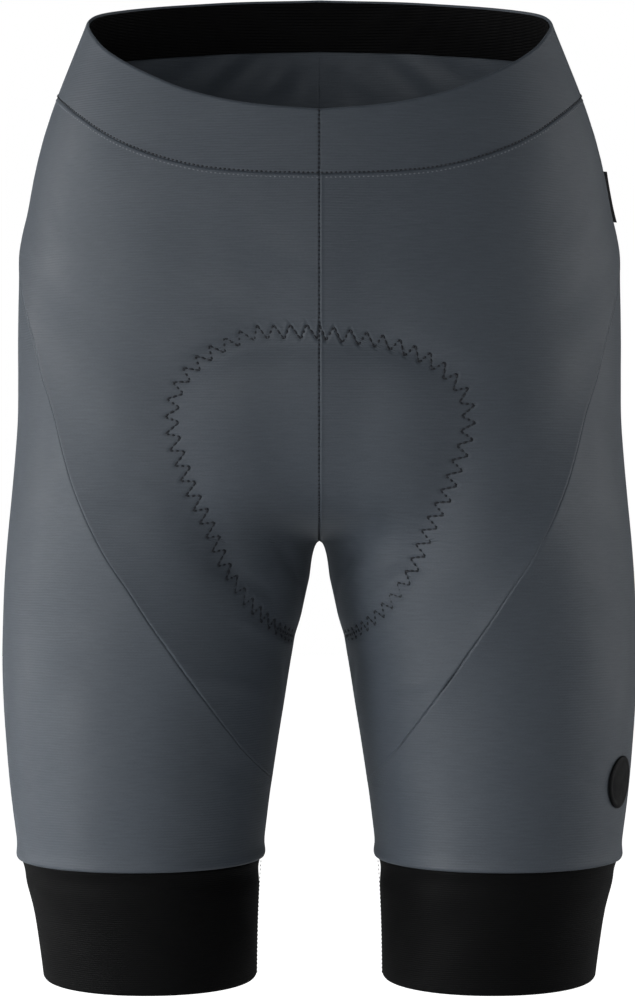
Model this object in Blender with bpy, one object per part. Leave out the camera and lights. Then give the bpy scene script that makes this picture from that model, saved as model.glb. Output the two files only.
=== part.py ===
"""Padded cycling shorts, filled out as if worn, as closed cloth walls.

The frame is the wearer's waist: the origin lies on the axis of the shorts at the side of the
waistband, +Z is up the body, +X is the wearer's left and -Y is the front. Lengths below are in
millimetres and become metres when a mesh is made.
"""

import math

import bpy
import numpy as np

# Cloth thicknesses and gaps, in millimetres
MAIN_CLOTH = 1.2
WAISTBAND_CLOTH = 1.7
GRIPPER_CLOTH = 1.5
ELASTIC_THICKNESS = 1.1
ELASTIC_HEIGHT = 28.0
SEAM_GAP = 0.3
LAYER_GAP = 0.3
PAD_GAP = 0.5
PAD_EDGE = 1.6
PAD_MIDDLE = 6.5
PAD_RAISE = 0.9
PAD_BULGE = 3.0
PAD_VALLEY = 2.2
PAD_VALLEY_WIDTH = 15.0
GRIPPER_STEP = 0.5

# Small parts, in millimetres
LABEL_HEIGHT = 28.0
LABEL_REACH = 15.0
LABEL_THICKNESS = 1.2
LABEL_LEVEL = -72.5
LABEL_ANGLE = -14.0
LABEL_LEAN = 33.0
BADGE_RADIUS = 13.8
BADGE_THICKNESS = 1.1
BADGE_ANGLE = 33.5
BADGE_HEIGHT = -388.6

# Levels that name the seams: a level is turned into a height by height_at()
RIM = 0.0
BAND = -50.0
HIP = -150.0
CROTCH = -260.55
SEAM_TIP = -391.0
LEG = -405.0
CUFF = -430.0
HEM = -494.5

# Half of the body by height: outer and inner reach from the middle, the centre of the half,
# the depth to the front and to the back, the rounding where the halves meet, and the roundness
SECTIONS = np.array(
    [
        (-500, 147.8, 33.2, 90.5, 72.5, 53.0, 1.5, 2.10),
        (-480, 150.4, 33.0, 91.5, 75.0, 56.0, 1.5, 2.10),
        (-458, 154.0, 32.4, 93.0, 78.0, 60.0, 1.5, 2.10),
        (-436, 160.0, 31.2, 95.5, 82.0, 65.5, 1.5, 2.10),
        (-413, 163.6, 28.6, 96.0, 85.5, 70.5, 1.5, 2.10),
        (-391, 166.3, 25.8, 96.0, 88.5, 75.0, 1.5, 2.10),
        (-370, 168.2, 22.6, 95.4, 91.0, 80.0, 1.5, 2.10),
        (-348, 169.8, 19.0, 94.4, 93.0, 85.0, 1.5, 2.10),
        (-326, 170.6, 15.5, 93.0, 95.0, 91.0, 1.5, 2.10),
        (-305, 170.4, 11.5, 91.0, 96.5, 97.0, 1.5, 2.10),
        (-283, 169.8, 6.8, 88.3, 98.0, 105.0, 1.5, 2.10),
        (-262, 168.5, 2.1, 84.0, 99.5, 113.0, 1.5, 2.10),
        (-240, 166.6, -15.0, 79.0, 101.5, 120.5, 25.0, 2.10),
        (-218, 164.7, -30.0, 73.0, 104.0, 126.0, 33.0, 2.12),
        (-197, 163.2, -38.0, 66.0, 106.0, 128.0, 35.0, 2.14),
        (-175, 162.9, -45.0, 57.0, 107.0, 128.0, 37.0, 2.16),
        (-154, 162.8, -54.0, 46.0, 107.3, 127.0, 34.0, 2.18),
        (-132, 162.0, -66.0, 34.0, 107.0, 125.0, 30.0, 2.20),
        (-110, 160.1, -82.0, 23.0, 106.0, 122.0, 30.0, 2.20),
        (-89, 157.1, -98.0, 14.0, 104.0, 118.0, 30.0, 2.20),
        (-67, 154.0, -112.0, 7.0, 101.0, 113.5, 30.0, 2.20),
        (-46, 149.2, -124.0, 3.0, 98.0, 109.0, 30.0, 2.18),
        (-24, 142.0, -130.0, 0.0, 94.0, 103.0, 30.0, 2.15),
        (-2, 133.4, -128.0, 0.0, 89.5, 97.5, 30.0, 2.12),
        (18, 125.5, -124.0, 0.0, 85.0, 93.0, 30.0, 2.10),
        (45, 117.0, -117.0, 0.0, 79.0, 87.0, 30.0, 2.10),
    ],
    float,
)

# Angles run from the outer side: +90 is the front, -90 the back, 180 the inside of the leg
# Heights of the top rim and of the waistband seam by angle
RIM_LINE = np.array(
    [
        (-180, 41.5), (-90, 41.5), (-50, 38.4), (-29, 33.5), (-21, 30.7), (-5, 23.5), (4, 18.0),
        (16, 7.5), (24, -1.5), (32, -9.8), (41.5, -18.8), (51, -26.5), (60, -31.4), (69, -34.8),
        (80, -37.1), (90, -38.4), (180, -38.4),
    ],
    float,
)
BAND_LINE = np.array(
    [
        (-180, -24.0), (-90, -24.0), (-45, -19.5), (-20, -17.5), (0, -21.0), (15, -29.5),
        (24.5, -38.5), (32, -46.8), (39.6, -54.5), (50, -62.5), (62, -68.6), (74, -71.2),
        (94, -72.6), (180, -72.6),
    ],
    float,
)

# Seam angles by level: the side panel's front and back edges, and the pad's outline
FRONT_SEAM = np.array(
    [
        (-391, 178), (-387, 163), (-382, 150), (-372, 134.5), (-361, 124.5), (-345, 113.5),
        (-330, 105), (-315, 97.5), (-300, 90.5), (-287, 85), (-271, 77.6), (-250, 69.3),
        (-233, 63), (-216, 57.2), (-195, 49.5), (-175, 40), (-150, 28.5), (-125, 13.5),
        (-108, 2), (-85, -10), (-50, -22),
    ],
    float,
)
BACK_SEAM = np.array(
    [
        (-391, -178), (-387, -165), (-382, -154), (-372, -139), (-361, -129), (-345, -118),
        (-330, -110), (-315, -103), (-300, -96.5), (-271, -84.5), (-233, -70), (-195, -58.5),
        (-150, -49), (-110, -45), (-50, -47),
    ],
    float,
)
PAD_FRONT = np.array(
    [
        (-314, 176), (-312, 160), (-309, 148), (-303, 136), (-294, 125.5), (-284, 118.5),
        (-274, 113), (-266, 109.3), (-257, 105.2), (-250, 102.2), (-240, 97.7), (-230, 94.3),
        (-220, 91), (-211, 88), (-200, 85.3), (-190, 83.8), (-180, 84), (-172, 86),
        (-166, 88.5), (-162, 91.5), (-157, 96), (-140, 88), (-100, 72), (-50, 60),
    ],
    float,
)
PAD_BACK = np.array(
    [
        (-314, -176), (-312, -163), (-309, -153), (-303, -143), (-294, -133), (-284, -126),
        (-270, -117), (-250, -105), (-230, -95), (-210, -88), (-190, -86), (-180, -88),
        (-170, -93.5), (-163, -100), (-157, -108), (-140, -100), (-100, -84), (-50, -68),
    ],
    float,
)

# Rows of the panels, from the waistband seam down to the tip of the front panel
PANEL_ROWS = (
    -50, -70, -92, -114, -136, -157, -168, -180, -192, -205, -218, -232, -244, -252, -258,
    -260.55, -265, -274, -284, -295, -306, -314, -326, -340, -354, -366, -376, -384, -389.4,
)
SIDE_ROWS = (
    -50, -70, -92, -114, -136, -157, -168, -180, -192, -205, -218, -232, -252, -265, -274,
    -284, -306, -326, -340, -354, -366, -376, -384, -389.4, -391.8, -398, -413, -430,
)
SIDE_COLUMNS = 24
GRIPPER_ROWS = (-430, -450, -472, -494.5)
PAD_TOP = -157
PAD_BOTTOM = -314
VALLEY_END = -296

# Colours: name, red, green, blue, roughness
SLATE = ("slate_knit", 0.062, 0.073, 0.092, 0.62)
BLACK_RIB = ("black_elastic", 0.010, 0.010, 0.011, 0.75)
BLACK_BAND = ("black_gripper_knit", 0.012, 0.012, 0.013, 0.72)
PAD_CLOTH = ("pad_fleece", 0.050, 0.056, 0.066, 0.85)
LABEL_CLOTH = ("label_ribbon", 0.012, 0.012, 0.014, 0.55)
BADGE_RUBBER = ("badge_rubber", 0.010, 0.010, 0.011, 0.45)


def smooth_rows(table, at):
    """The columns after the first, read along the first by a smooth curve through the rows."""
    at = np.asarray(at, float)
    key = table[:, 0]
    rows = table[:, 1:]
    width = np.diff(key)
    slope = np.diff(rows, axis=0) / width[:, None]
    tangent = np.empty_like(rows)
    before = slope[:-1] * width[1:, None]
    after = slope[1:] * width[:-1, None]
    tangent[1:-1] = (before + after) / (width[1:] + width[:-1])[:, None]
    tangent[0] = slope[0]
    tangent[-1] = slope[-1]
    at = np.clip(at, key[0], key[-1])
    index = np.clip(np.searchsorted(key, at, side="right") - 1, 0, len(key) - 2)
    t = ((at - key[index]) / width[index])[..., None]
    step = width[index][..., None]
    start = rows[index] * (2 * t**3 - 3 * t**2 + 1)
    end = rows[index + 1] * (3 * t**2 - 2 * t**3)
    lead = tangent[index] * step * (t**3 - 2 * t**2 + t)
    tail = tangent[index + 1] * step * (t**3 - t**2)
    return start + end + lead + tail


def read_line(table, at):
    return smooth_rows(table, at)[..., 0]


def half_section(z):
    """The seven columns of SECTIONS after the height, at each z."""
    columns = smooth_rows(SECTIONS, z)
    return [columns[..., k] for k in range(7)]


def form_value(x, y, z):
    """Under 1 inside the body and over 1 outside it, for points with x of 0 or more."""
    outer, inner, centre, front, back, fold, power = half_section(z)
    middle = (back - front) / 2
    depth = (back + front) / 2
    reach_out = np.sqrt(outer**2 + fold**2) - centre
    reach_in = centre - inner
    rounded = np.sqrt(x**2 + fold**2)
    reach = np.where(rounded > centre, reach_out, reach_in)
    across = (np.abs(rounded - centre) / reach) ** power
    return across + (np.abs(y - middle) / depth) ** power


def edge_angle(z):
    """The angle at which the half meets the middle plane, or 180 on the separate legs."""
    outer, inner, centre, front, back, fold, power = half_section(z)
    depth = (back + front) / 2
    reach_out = np.sqrt(outer**2 + fold**2) - centre
    reach = np.where(centre > fold, centre - inner, reach_out)
    share = np.clip(np.abs(centre - fold) / reach, 0, 1)
    return np.degrees(np.arctan2(depth * (1 - share**power) ** (1 / power), -centre))


def bare_points(angle, z):
    """Points of the body without relief, along rays from the centre of the half."""
    angle, z = np.broadcast_arrays(np.radians(np.asarray(angle, float)), np.asarray(z, float))
    centre = half_section(z)[2]
    middle = (half_section(z)[4] - half_section(z)[3]) / 2
    cosine = np.cos(angle)
    low = np.zeros_like(cosine)
    inward = np.minimum(260.0, centre / np.maximum(-cosine, 1e-9))
    high = np.where(cosine < -1e-9, inward, 260.0)
    for _ in range(36):
        trial = (low + high) / 2
        x = centre + trial * cosine
        inside = form_value(x, middle - trial * np.sin(angle), z) < 1
        low = np.where(inside, trial, low)
        high = np.where(inside, high, trial)
    return np.stack([centre + low * cosine, middle - low * np.sin(angle), z], -1)


def normals(points):
    """Outward unit normals of the body at points of it."""
    step = 0.05
    gradient = []
    for axis in range(3):
        shift = np.zeros(3)
        shift[axis] = step
        ahead = points + shift
        behind = points - shift
        rise = form_value(ahead[..., 0], ahead[..., 1], ahead[..., 2])
        gradient.append(rise - form_value(behind[..., 0], behind[..., 1], behind[..., 2]))
    gradient = np.stack(gradient, -1)
    gradient[..., 0] = np.where(points[..., 0] < 1e-6, 0.0, gradient[..., 0])
    return gradient / np.linalg.norm(gradient, axis=-1, keepdims=True)


def soft_step(value):
    value = np.clip(value, 0, 1)
    return value * value * (3 - 2 * value)


def relief(angle, z):
    """How far the cloth stands out over the pad, and how far it dips at the pad's edge."""
    outline = np.where(angle > 0, read_line(PAD_FRONT, z), -read_line(PAD_BACK, z))
    inside = np.minimum((np.abs(angle) - outline) * 1.6, np.minimum(PAD_TOP - z, z - PAD_BOTTOM))
    raised = PAD_RAISE * soft_step(inside / 14)
    bulge = PAD_BULGE * soft_step(inside / 34) * soft_step((z - CROTCH) / 32)
    valley = PAD_VALLEY * np.exp(-((inside / PAD_VALLEY_WIDTH) ** 2)) * soft_step((z - VALLEY_END) / 30)
    return raised + bulge - valley


def skin(angle, z, depth=0.0):
    """Points of the cloth, `depth` inwards from its outer face."""
    bare = bare_points(angle, z)
    offset = relief(np.asarray(angle, float), np.asarray(z, float)) - depth
    return bare + normals(bare) * np.asarray(offset)[..., None]


def height_at(level, angle):
    """The height of a level at an angle: named levels follow the seams and edges."""
    level, angle = np.broadcast_arrays(np.asarray(level, float), np.asarray(angle, float))
    rim = read_line(RIM_LINE, angle)
    band = read_line(BAND_LINE, angle)
    turn = np.sin(np.radians(angle))
    cuff = CUFF - 3.0 * turn
    hem = HEM - 4.0 * turn
    upper = HIP + (level - HIP) / (BAND - HIP) * (band - HIP)
    waist = band + (level - BAND) / (RIM - BAND) * (rim - band)
    lower = LEG + (level - LEG) / (CUFF - LEG) * (cuff - LEG)
    grip = cuff + (level - CUFF) / (HEM - CUFF) * (hem - cuff)
    z = np.where(level > HIP, upper, level)
    z = np.where(level > BAND, waist, z)
    z = np.where(level < LEG, lower, z)
    return np.where(level < CUFF, grip, z)


def edge_at(level, sign):
    """The angle of the middle plane, or of the inseam, at a level: sign +1 front, -1 back."""
    angle = np.full(np.shape(level), 100.0) * sign
    for _ in range(6):
        angle = edge_angle(height_at(level, angle)) * sign
    return angle


def spread(start, stop, count, ease=1.0):
    """Count + 1 values from start to stop, closer together near stop when ease is over 1."""
    share = 1 - (1 - np.linspace(0, 1, count + 1)) ** ease
    start = np.asarray(start, float)[..., None]
    stop = np.asarray(stop, float)[..., None]
    return start + (stop - start) * share


def inseam_trim(level, gap):
    """Degrees to leave at the inseam, nothing above the crotch."""
    return np.where(np.asarray(level) < CROTCH + 0.2, math.degrees(gap / 2 / 78.0), 0.0)


def weld(points, faces):
    """One vertex where several of a mesh's points coincide."""
    keys = np.round(points * 1e3).astype(np.int64)
    _, first, index = np.unique(keys, axis=0, return_index=True, return_inverse=True)
    index = index.reshape(-1)
    kept = []
    for face in faces:
        ring = [int(index[corner]) for corner in face]
        ring = [v for k, v in enumerate(ring) if v != ring[k - 1]]
        if len(set(ring)) > 2:
            kept.append(tuple(ring))
    return points[first], kept, first


def grid_faces(grid, closed=False):
    """Triangles over a grid of points, each cell split along its shorter diagonal."""
    rows, columns = grid.shape[:2]
    faces = []
    for i in range(rows - 1):
        for j in range(columns if closed else columns - 1):
            k = (j + 1) % columns
            a, b = i * columns + j, i * columns + k
            d, c = a + columns, b + columns
            falling = np.linalg.norm(grid[i, j] - grid[i + 1, k])
            rising = np.linalg.norm(grid[i, k] - grid[i + 1, j])
            if falling < rising:
                faces += [(a, b, c), (a, c, d)]
            else:
                faces += [(a, b, d), (b, c, d)]
    return faces


def thicken(outer, inner, faces):
    """A closed wall between two faces that share one layout."""
    count = len(outer)
    edges = {}
    for face in faces:
        for k, start in enumerate(face):
            edges[(start, face[(k + 1) % len(face)])] = True
    border = [edge for edge in edges if (edge[1], edge[0]) not in edges]
    solid = list(faces)
    solid += [tuple(v + count for v in reversed(face)) for face in faces]
    solid += [(b, a, a + count, b + count) for a, b in border]
    return np.concatenate([outer, inner]), solid


def volume(points, faces):
    total = 0.0
    for face in faces:
        for k in range(1, len(face) - 1):
            total += np.dot(points[face[0]], np.cross(points[face[k]], points[face[k + 1]]))
    return total / 6


def make_material(colour):
    name, red, green, blue, roughness = colour
    if name in bpy.data.materials:
        return bpy.data.materials[name]
    material = bpy.data.materials.new(name)
    material.use_nodes = True
    shader = material.node_tree.nodes["Principled BSDF"]
    shader.inputs["Base Color"].default_value = (red, green, blue, 1.0)
    shader.inputs["Roughness"].default_value = roughness
    return material


def make_object(name, points, faces, colour):
    """A mesh object in metres whose faces look outwards."""
    if volume(points, faces) < 0:
        faces = [tuple(reversed(face)) for face in faces]
    mesh = bpy.data.meshes.new(name)
    mesh.from_pydata((points / 1000).tolist(), [], faces)
    mesh.materials.append(make_material(colour))
    mesh.validate()
    mesh.shade_smooth()
    mesh.set_sharp_from_angle(angle=math.radians(50))
    made = bpy.data.objects.new(name, mesh)
    bpy.context.scene.collection.objects.link(made)
    return made


def on_side(points, side):
    """Points of the left half, moved half a seam gap from the middle, or their mirror image."""
    moved = points + np.array([SEAM_GAP / 2, 0.0, 0.0])
    return moved * np.array([side, 1.0, 1.0])


def near_angles(level, seam, pad, sign, columns):
    """Angles over the pad, row by row, from the pad's outline to the middle or the inseam."""
    edge = edge_at(level, sign)
    outline = read_line(pad, level)
    low = read_line(seam, level)
    low = low + 0.3 * (edge - low)
    far = edge - sign * 1.2
    outline = np.clip(outline, low, far) if sign > 0 else np.clip(outline, far, low)
    return spread(outline, edge, columns, 1.5)


def panel_angles(rows, seam, pad, sign, columns, near_columns):
    """Angles of a front or back panel, row by row, from its seam past the pad's edge."""
    level = np.array(rows, float)
    near = near_angles(level, seam, pad, sign, near_columns)
    far = spread(read_line(seam, level), near[:, 0], columns)[:, :-1]
    near[:, -1] -= sign * inseam_trim(level, SEAM_GAP)
    return np.concatenate([far, near], axis=1)


def trimmed(rows, angles, first_column):
    """Angles and heights of a grid, its seam column moved half a gap into the panel."""
    level = np.broadcast_to(np.array(rows, float)[:, None], angles.shape)
    z = np.array(height_at(level, angles))
    angles = angles.copy()
    z[0] -= 0.6 * SEAM_GAP
    column = 0 if first_column else angles.shape[1] - 1
    inward = 1 if first_column else -1
    points = bare_points(angles[:, column], z[:, column])
    along = np.gradient(points, axis=0)
    along /= np.linalg.norm(along, axis=1, keepdims=True)
    away = np.cross(along, normals(points))
    toward = bare_points(angles[:, column] + inward * np.sign(angles[0, -1] - angles[0, 0]), z[:, column])
    away *= np.sign(np.sum(away * (toward - points), axis=1))[:, None]
    around = toward - points
    around /= np.linalg.norm(around, axis=1, keepdims=True)
    radius = np.hypot(points[:, 0] - half_section(z[:, column])[2], points[:, 1])
    shift = away * SEAM_GAP / 2
    turn = np.degrees(np.sum(shift * around, axis=1) / radius)
    angles[:, column] += inward * np.sign(angles[0, -1] - angles[0, 0]) * turn
    z[:, column] += np.where(np.arange(len(rows)) == 0, 0.0, shift[:, 2])
    return angles, z


def build_panels():
    """Front and back panels of both sides."""
    for place, seam, pad, sign, columns, near in (
        ("front", FRONT_SEAM, PAD_FRONT, 1, 6, 8),
        ("back", BACK_SEAM, PAD_BACK, -1, 5, 7),
    ):
        angles = panel_angles(PANEL_ROWS, seam, pad, sign, columns, near)
        angles, z = trimmed(PANEL_ROWS, angles, True)
        faces = grid_faces(skin(angles, z))
        outer = skin(angles, z).reshape(-1, 3)
        inner = skin(angles, z, MAIN_CLOTH).reshape(-1, 3)
        for side, word in ((1, "left"), (-1, "right")):
            points, solid = thicken(on_side(outer, side), on_side(inner, side), faces)
            make_object(f"{place}_panel_{word}", points, solid, SLATE)


def build_side_panels():
    """Side panels, which wrap the whole leg under the tips of the front and back panels."""
    level = np.array(SIDE_ROWS, float)
    below = level < SEAM_TIP
    trim = math.degrees(SEAM_GAP / 2 / 70.0)
    front = np.where(below, 180.0 - trim, read_line(FRONT_SEAM, level))
    back = np.where(below, -180.0 + trim, read_line(BACK_SEAM, level))
    angles = back[:, None] + (front - back)[:, None] * np.linspace(0, 1, SIDE_COLUMNS + 1)
    z = np.array(height_at(np.broadcast_to(level[:, None], angles.shape), angles))
    z[0] -= 0.6 * SEAM_GAP
    z[-1] += SEAM_GAP / 2
    for column, seam in ((0, back), (angles.shape[1] - 1, front)):
        points = bare_points(angles[:, column], z[:, column])
        along = np.gradient(points, axis=0)
        along /= np.linalg.norm(along, axis=1, keepdims=True)
        inward = 1.0 if column == 0 else -1.0
        toward = bare_points(angles[:, column] + inward, z[:, column]) - points
        toward /= np.linalg.norm(toward, axis=1, keepdims=True)
        away = np.cross(along, normals(points))
        away *= np.sign(np.sum(away * toward, axis=1))[:, None]
        radius = np.hypot(points[:, 0] - half_section(z[:, column])[2], points[:, 1])
        shift = np.where(below[:, None], 0.0, away * SEAM_GAP / 2)
        angles[:, column] += inward * np.degrees(np.sum(shift * toward, axis=1) / radius)
        keep = np.arange(len(level)) > 0
        z[:, column] += np.where(keep, shift[:, 2], 0.0)
    faces = grid_faces(skin(angles, z))
    outer = skin(angles, z).reshape(-1, 3)
    inner = skin(angles, z, MAIN_CLOTH).reshape(-1, 3)
    for side, word in ((1, "left"), (-1, "right")):
        points, solid = thicken(on_side(outer, side), on_side(inner, side), faces)
        make_object(f"side_leg_panel_{word}", points, solid, SLATE)


def waist_shares():
    """Columns of the waistband from -1 at the back to +1 at the front, set by the panels' top rows."""
    front = panel_angles(PANEL_ROWS[:1], FRONT_SEAM, PAD_FRONT, 1, 6, 8)[0]
    back = panel_angles(PANEL_ROWS[:1], BACK_SEAM, PAD_BACK, -1, 5, 7)[0]
    side = np.linspace(back[0], front[0], 5)[1:-1]
    angles = np.concatenate([back[::-1], side, front])
    return np.where(angles > 0, angles / front[-1], -angles / back[-1])


def build_waist():
    """Waistband halves and the elastic inside their back."""
    rows = np.array([BAND, -34.0, -17.0, RIM])
    front = edge_at(rows, 1)[:, None]
    back = edge_at(rows, -1)[:, None]
    shares = waist_shares()
    angles = np.where(shares > 0, shares * front, -shares * back)
    z = np.array(height_at(rows[:, None], angles))
    z[0] += 0.6 * SEAM_GAP
    faces = grid_faces(skin(angles, z))
    outer = skin(angles, z).reshape(-1, 3)
    inner = skin(angles, z, WAISTBAND_CLOTH).reshape(-1, 3)
    for side, word in ((1, "left"), (-1, "right")):
        points, solid = thicken(on_side(outer, side), on_side(inner, side), faces)
        make_object(f"waistband_{word}", points, solid, SLATE)
    shares = shares[shares < 0.22]
    half = np.where(shares > 0, shares * edge_at(RIM, 1), -shares * edge_at(RIM, -1))
    drop = np.array([1.0, 10.0, 19.0, ELASTIC_HEIGHT])[:, None]
    angles = np.broadcast_to(half, (4, len(half)))
    z = read_line(RIM_LINE, angles) - drop
    depth = WAISTBAND_CLOTH + LAYER_GAP
    mirror = np.array([-1.0, 1.0, 1.0])
    whole = []
    for level in (depth, depth + ELASTIC_THICKNESS):
        left = skin(angles, z, level)
        whole.append(np.concatenate([(left * mirror)[:, :0:-1], left], axis=1))
    faces = grid_faces(whole[0])
    points, solid = thicken(whole[0].reshape(-1, 3), whole[1].reshape(-1, 3), faces)
    make_object("waist_elastic", points, solid, BLACK_RIB)


def build_grippers():
    """Leg bands, each one closed ring."""
    columns = np.linspace(-180, 180, SIDE_COLUMNS + 1)[:-1]
    angles = np.broadcast_to(columns, (len(GRIPPER_ROWS), SIDE_COLUMNS))
    z = np.array(height_at(np.array(GRIPPER_ROWS)[:, None], angles))
    z[0] -= SEAM_GAP / 2
    faces = grid_faces(skin(angles, z), True)
    outer = skin(angles, z, GRIPPER_STEP).reshape(-1, 3)
    inner = skin(angles, z, GRIPPER_STEP + GRIPPER_CLOTH).reshape(-1, 3)
    for side, word in ((1, "left"), (-1, "right")):
        points, solid = thicken(on_side(outer, side), on_side(inner, side), faces)
        make_object(f"leg_gripper_{word}", points, solid, BLACK_BAND)


def build_pad():
    """The pad inside the seat: one saddle from the front through the crotch to the back."""
    rows = [row for row in PANEL_ROWS if PAD_BOTTOM <= row <= PAD_TOP]
    level = np.array(rows, float)
    points = []
    depths = []
    faces = []
    for seam, pad, sign, near in ((FRONT_SEAM, PAD_FRONT, 1, 8), (BACK_SEAM, PAD_BACK, -1, 7)):
        angles = near_angles(level, seam, pad, sign, near)
        z = np.broadcast_to(level[:, None], angles.shape)
        across = np.abs(angles - angles[:, :1]) * 1.6
        along = np.minimum(PAD_TOP - z, z - PAD_BOTTOM)
        full = soft_step(np.minimum(across, along) / 22)
        thickness = PAD_EDGE + (PAD_MIDDLE - PAD_EDGE) * full
        outer = skin(angles, z, MAIN_CLOTH + PAD_GAP)
        inner = skin(angles, z, MAIN_CLOTH + PAD_GAP + thickness)
        for side in (1, -1):
            base = sum(len(part) for part in points)
            points.append((outer * np.array([side, 1, 1])).reshape(-1, 3))
            depths.append((inner * np.array([side, 1, 1])).reshape(-1, 3))
            for face in grid_faces(skin(angles, z)):
                face = tuple(v + base for v in face)
                faces.append(face if side * sign > 0 else tuple(reversed(face)))
    outer = np.concatenate(points)
    inner = np.concatenate(depths)
    outer, faces, first = weld(outer, faces)
    solid_points, solid = thicken(outer, inner[first], faces)
    make_object("seat_pad", solid_points, solid, PAD_CLOTH)


def build_label():
    """A folded ribbon label that stands out of the left side and leans back."""
    z = np.array([LABEL_LEVEL + LABEL_HEIGHT / 2, LABEL_LEVEL, LABEL_LEVEL - LABEL_HEIGHT / 2])
    root = skin(np.full(3, LABEL_ANGLE), z, -LAYER_GAP - 0.25) + np.array([SEAM_GAP / 2, 0, 0])
    lean = math.radians(LABEL_LEAN)
    out = np.array([math.cos(lean), math.sin(lean), 0.0])
    flat = np.array([-math.sin(lean), math.cos(lean), 0.0])
    half = LABEL_THICKNESS / 2
    reach = LABEL_REACH
    profile = [(0.0, -half), (reach * 0.5, -half), (reach - half, -half)]
    for turn in (-60, -30, 0, 30, 60):
        angle = math.radians(turn)
        profile.append((reach - half + half * math.cos(angle), half * math.sin(angle)))
    profile += [(reach - half, half), (reach * 0.5, half), (0.0, half)]
    rings = [[base + out * along + flat * across for along, across in profile] for base in root]
    count = len(profile)
    rings = np.array(rings)
    points = rings.reshape(-1, 3)
    faces = grid_faces(rings, True)
    faces.append(tuple(range(count)))
    faces.append(tuple(reversed(range(2 * count, 3 * count))))
    faces = [tuple(reversed(face)) if k >= len(faces) - 2 else face for k, face in enumerate(faces)]
    make_object("side_label", points, faces, LABEL_CLOTH)


def build_badge():
    """A thin round badge that follows the outer left thigh."""
    around = 28
    rings = (0.0, 6.0, 10.5, BADGE_RADIUS)
    radius = float(np.hypot(*(bare_points(BADGE_ANGLE, BADGE_HEIGHT)[:2] - np.array([96.0, -6.5]))))
    turn = np.radians(np.arange(around) * 360 / around)

    def face_points(depth, shrink):
        points = [skin(BADGE_ANGLE, BADGE_HEIGHT, depth)[None, :]]
        for ring in rings[1:]:
            size = ring - (shrink if ring == BADGE_RADIUS else 0.0)
            angle = BADGE_ANGLE + np.degrees(size * np.cos(turn) / radius)
            points.append(skin(angle, BADGE_HEIGHT + size * np.sin(turn), depth))
        return np.concatenate(points) + np.array([SEAM_GAP / 2, 0, 0])

    faces = [(0, 1 + k, 1 + (k + 1) % around) for k in range(around)]
    for i in range(len(rings) - 2):
        for k in range(around):
            a = 1 + i * around + k
            b = 1 + i * around + (k + 1) % around
            faces.append((a, a + around, b + around, b))
    outer = face_points(-LAYER_GAP - BADGE_THICKNESS, 0.5)
    points, solid = thicken(outer, face_points(-LAYER_GAP, 0.0), faces)
    make_object("leg_badge", points, solid, BADGE_RUBBER)


def main():
    for old in list(bpy.data.objects):
        bpy.data.objects.remove(old, do_unlink=True)
    build_waist()
    build_panels()
    build_side_panels()
    build_grippers()
    build_pad()
    build_label()
    build_badge()


main()
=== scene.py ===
"""Looks for a pair of padded cycling shorts: fine cloth shells, stitching, finishes, light and camera."""

import enum
import logging
import math
from dataclasses import dataclass, field

import bpy
import numpy as np
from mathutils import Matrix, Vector
from mathutils.kdtree import KDTree


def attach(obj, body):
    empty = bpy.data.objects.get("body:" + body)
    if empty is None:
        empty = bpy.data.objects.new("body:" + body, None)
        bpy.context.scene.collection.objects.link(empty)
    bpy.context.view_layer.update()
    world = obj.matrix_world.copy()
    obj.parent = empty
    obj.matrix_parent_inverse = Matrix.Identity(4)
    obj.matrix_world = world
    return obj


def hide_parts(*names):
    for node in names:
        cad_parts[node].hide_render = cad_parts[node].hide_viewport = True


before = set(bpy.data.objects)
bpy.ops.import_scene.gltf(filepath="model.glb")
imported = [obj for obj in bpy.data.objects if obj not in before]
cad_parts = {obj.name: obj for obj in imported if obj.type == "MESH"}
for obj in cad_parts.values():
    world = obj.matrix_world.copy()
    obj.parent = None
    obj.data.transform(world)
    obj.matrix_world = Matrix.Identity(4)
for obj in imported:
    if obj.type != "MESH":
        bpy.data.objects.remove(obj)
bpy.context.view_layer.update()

LOG = logging.getLogger("cycling_shorts")
Array = np.ndarray
MM = 0.001

# Named levels of the body, in millimetres
HIP, BAND, RIM = -150.0, -50.0, 0.0
CROTCH = -260.55
SEAM_TIP = -391.0
LEG, CUFF, HEM = -405.0, -430.0, -494.5
PAD_TOP, PAD_BOTTOM = -157.0, -314.0
# How far the pad bulges under the cloth, and the dip in the cloth along the pad's edge
PAD_BULGE, PAD_VALLEY, PAD_VALLEY_WIDTH = 3.0, 2.2, 15.0
# The pad's stitch runs above the pad's edge at its top, by this much, down to this height
PAD_STITCH_LIFT, PAD_STITCH_SAG, PAD_LIFT_END = 2.9, 5.5, -225.0
# About how far one degree round the body is, at the pad
DEGREE = 1.6
# How far a trough reaches to each side, in its own widths, plain or with soft sides
REACH, SOFT_REACH = 2.6, 4.5
# Points closer together than this are one
WELD = 0.001
# How many places a line round the waist or the leg is worked out at
LINE_POINTS = 240
# The share of a wall that comes off each face at a folded edge
EDGE_SHARE = 0.42


class Side(enum.Enum):
    """The wearer's left and right, as the sign of X."""

    LEFT = 1
    RIGHT = -1

    @property
    def word(self) -> str:
        """The side's name in lower case."""
        return self.name.lower()


class Face(enum.Enum):
    """Front and back of the body, as the sign of the angle."""

    FRONT = 1
    BACK = -1


def table(*rows: tuple[float, ...]) -> Array:
    """A table of numbers whose first column is the key.

    Args:
        rows: the rows, in rising order of their first number.

    Returns:
        The rows as a two-dimensional array.
    """
    return np.array(rows, float)


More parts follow.
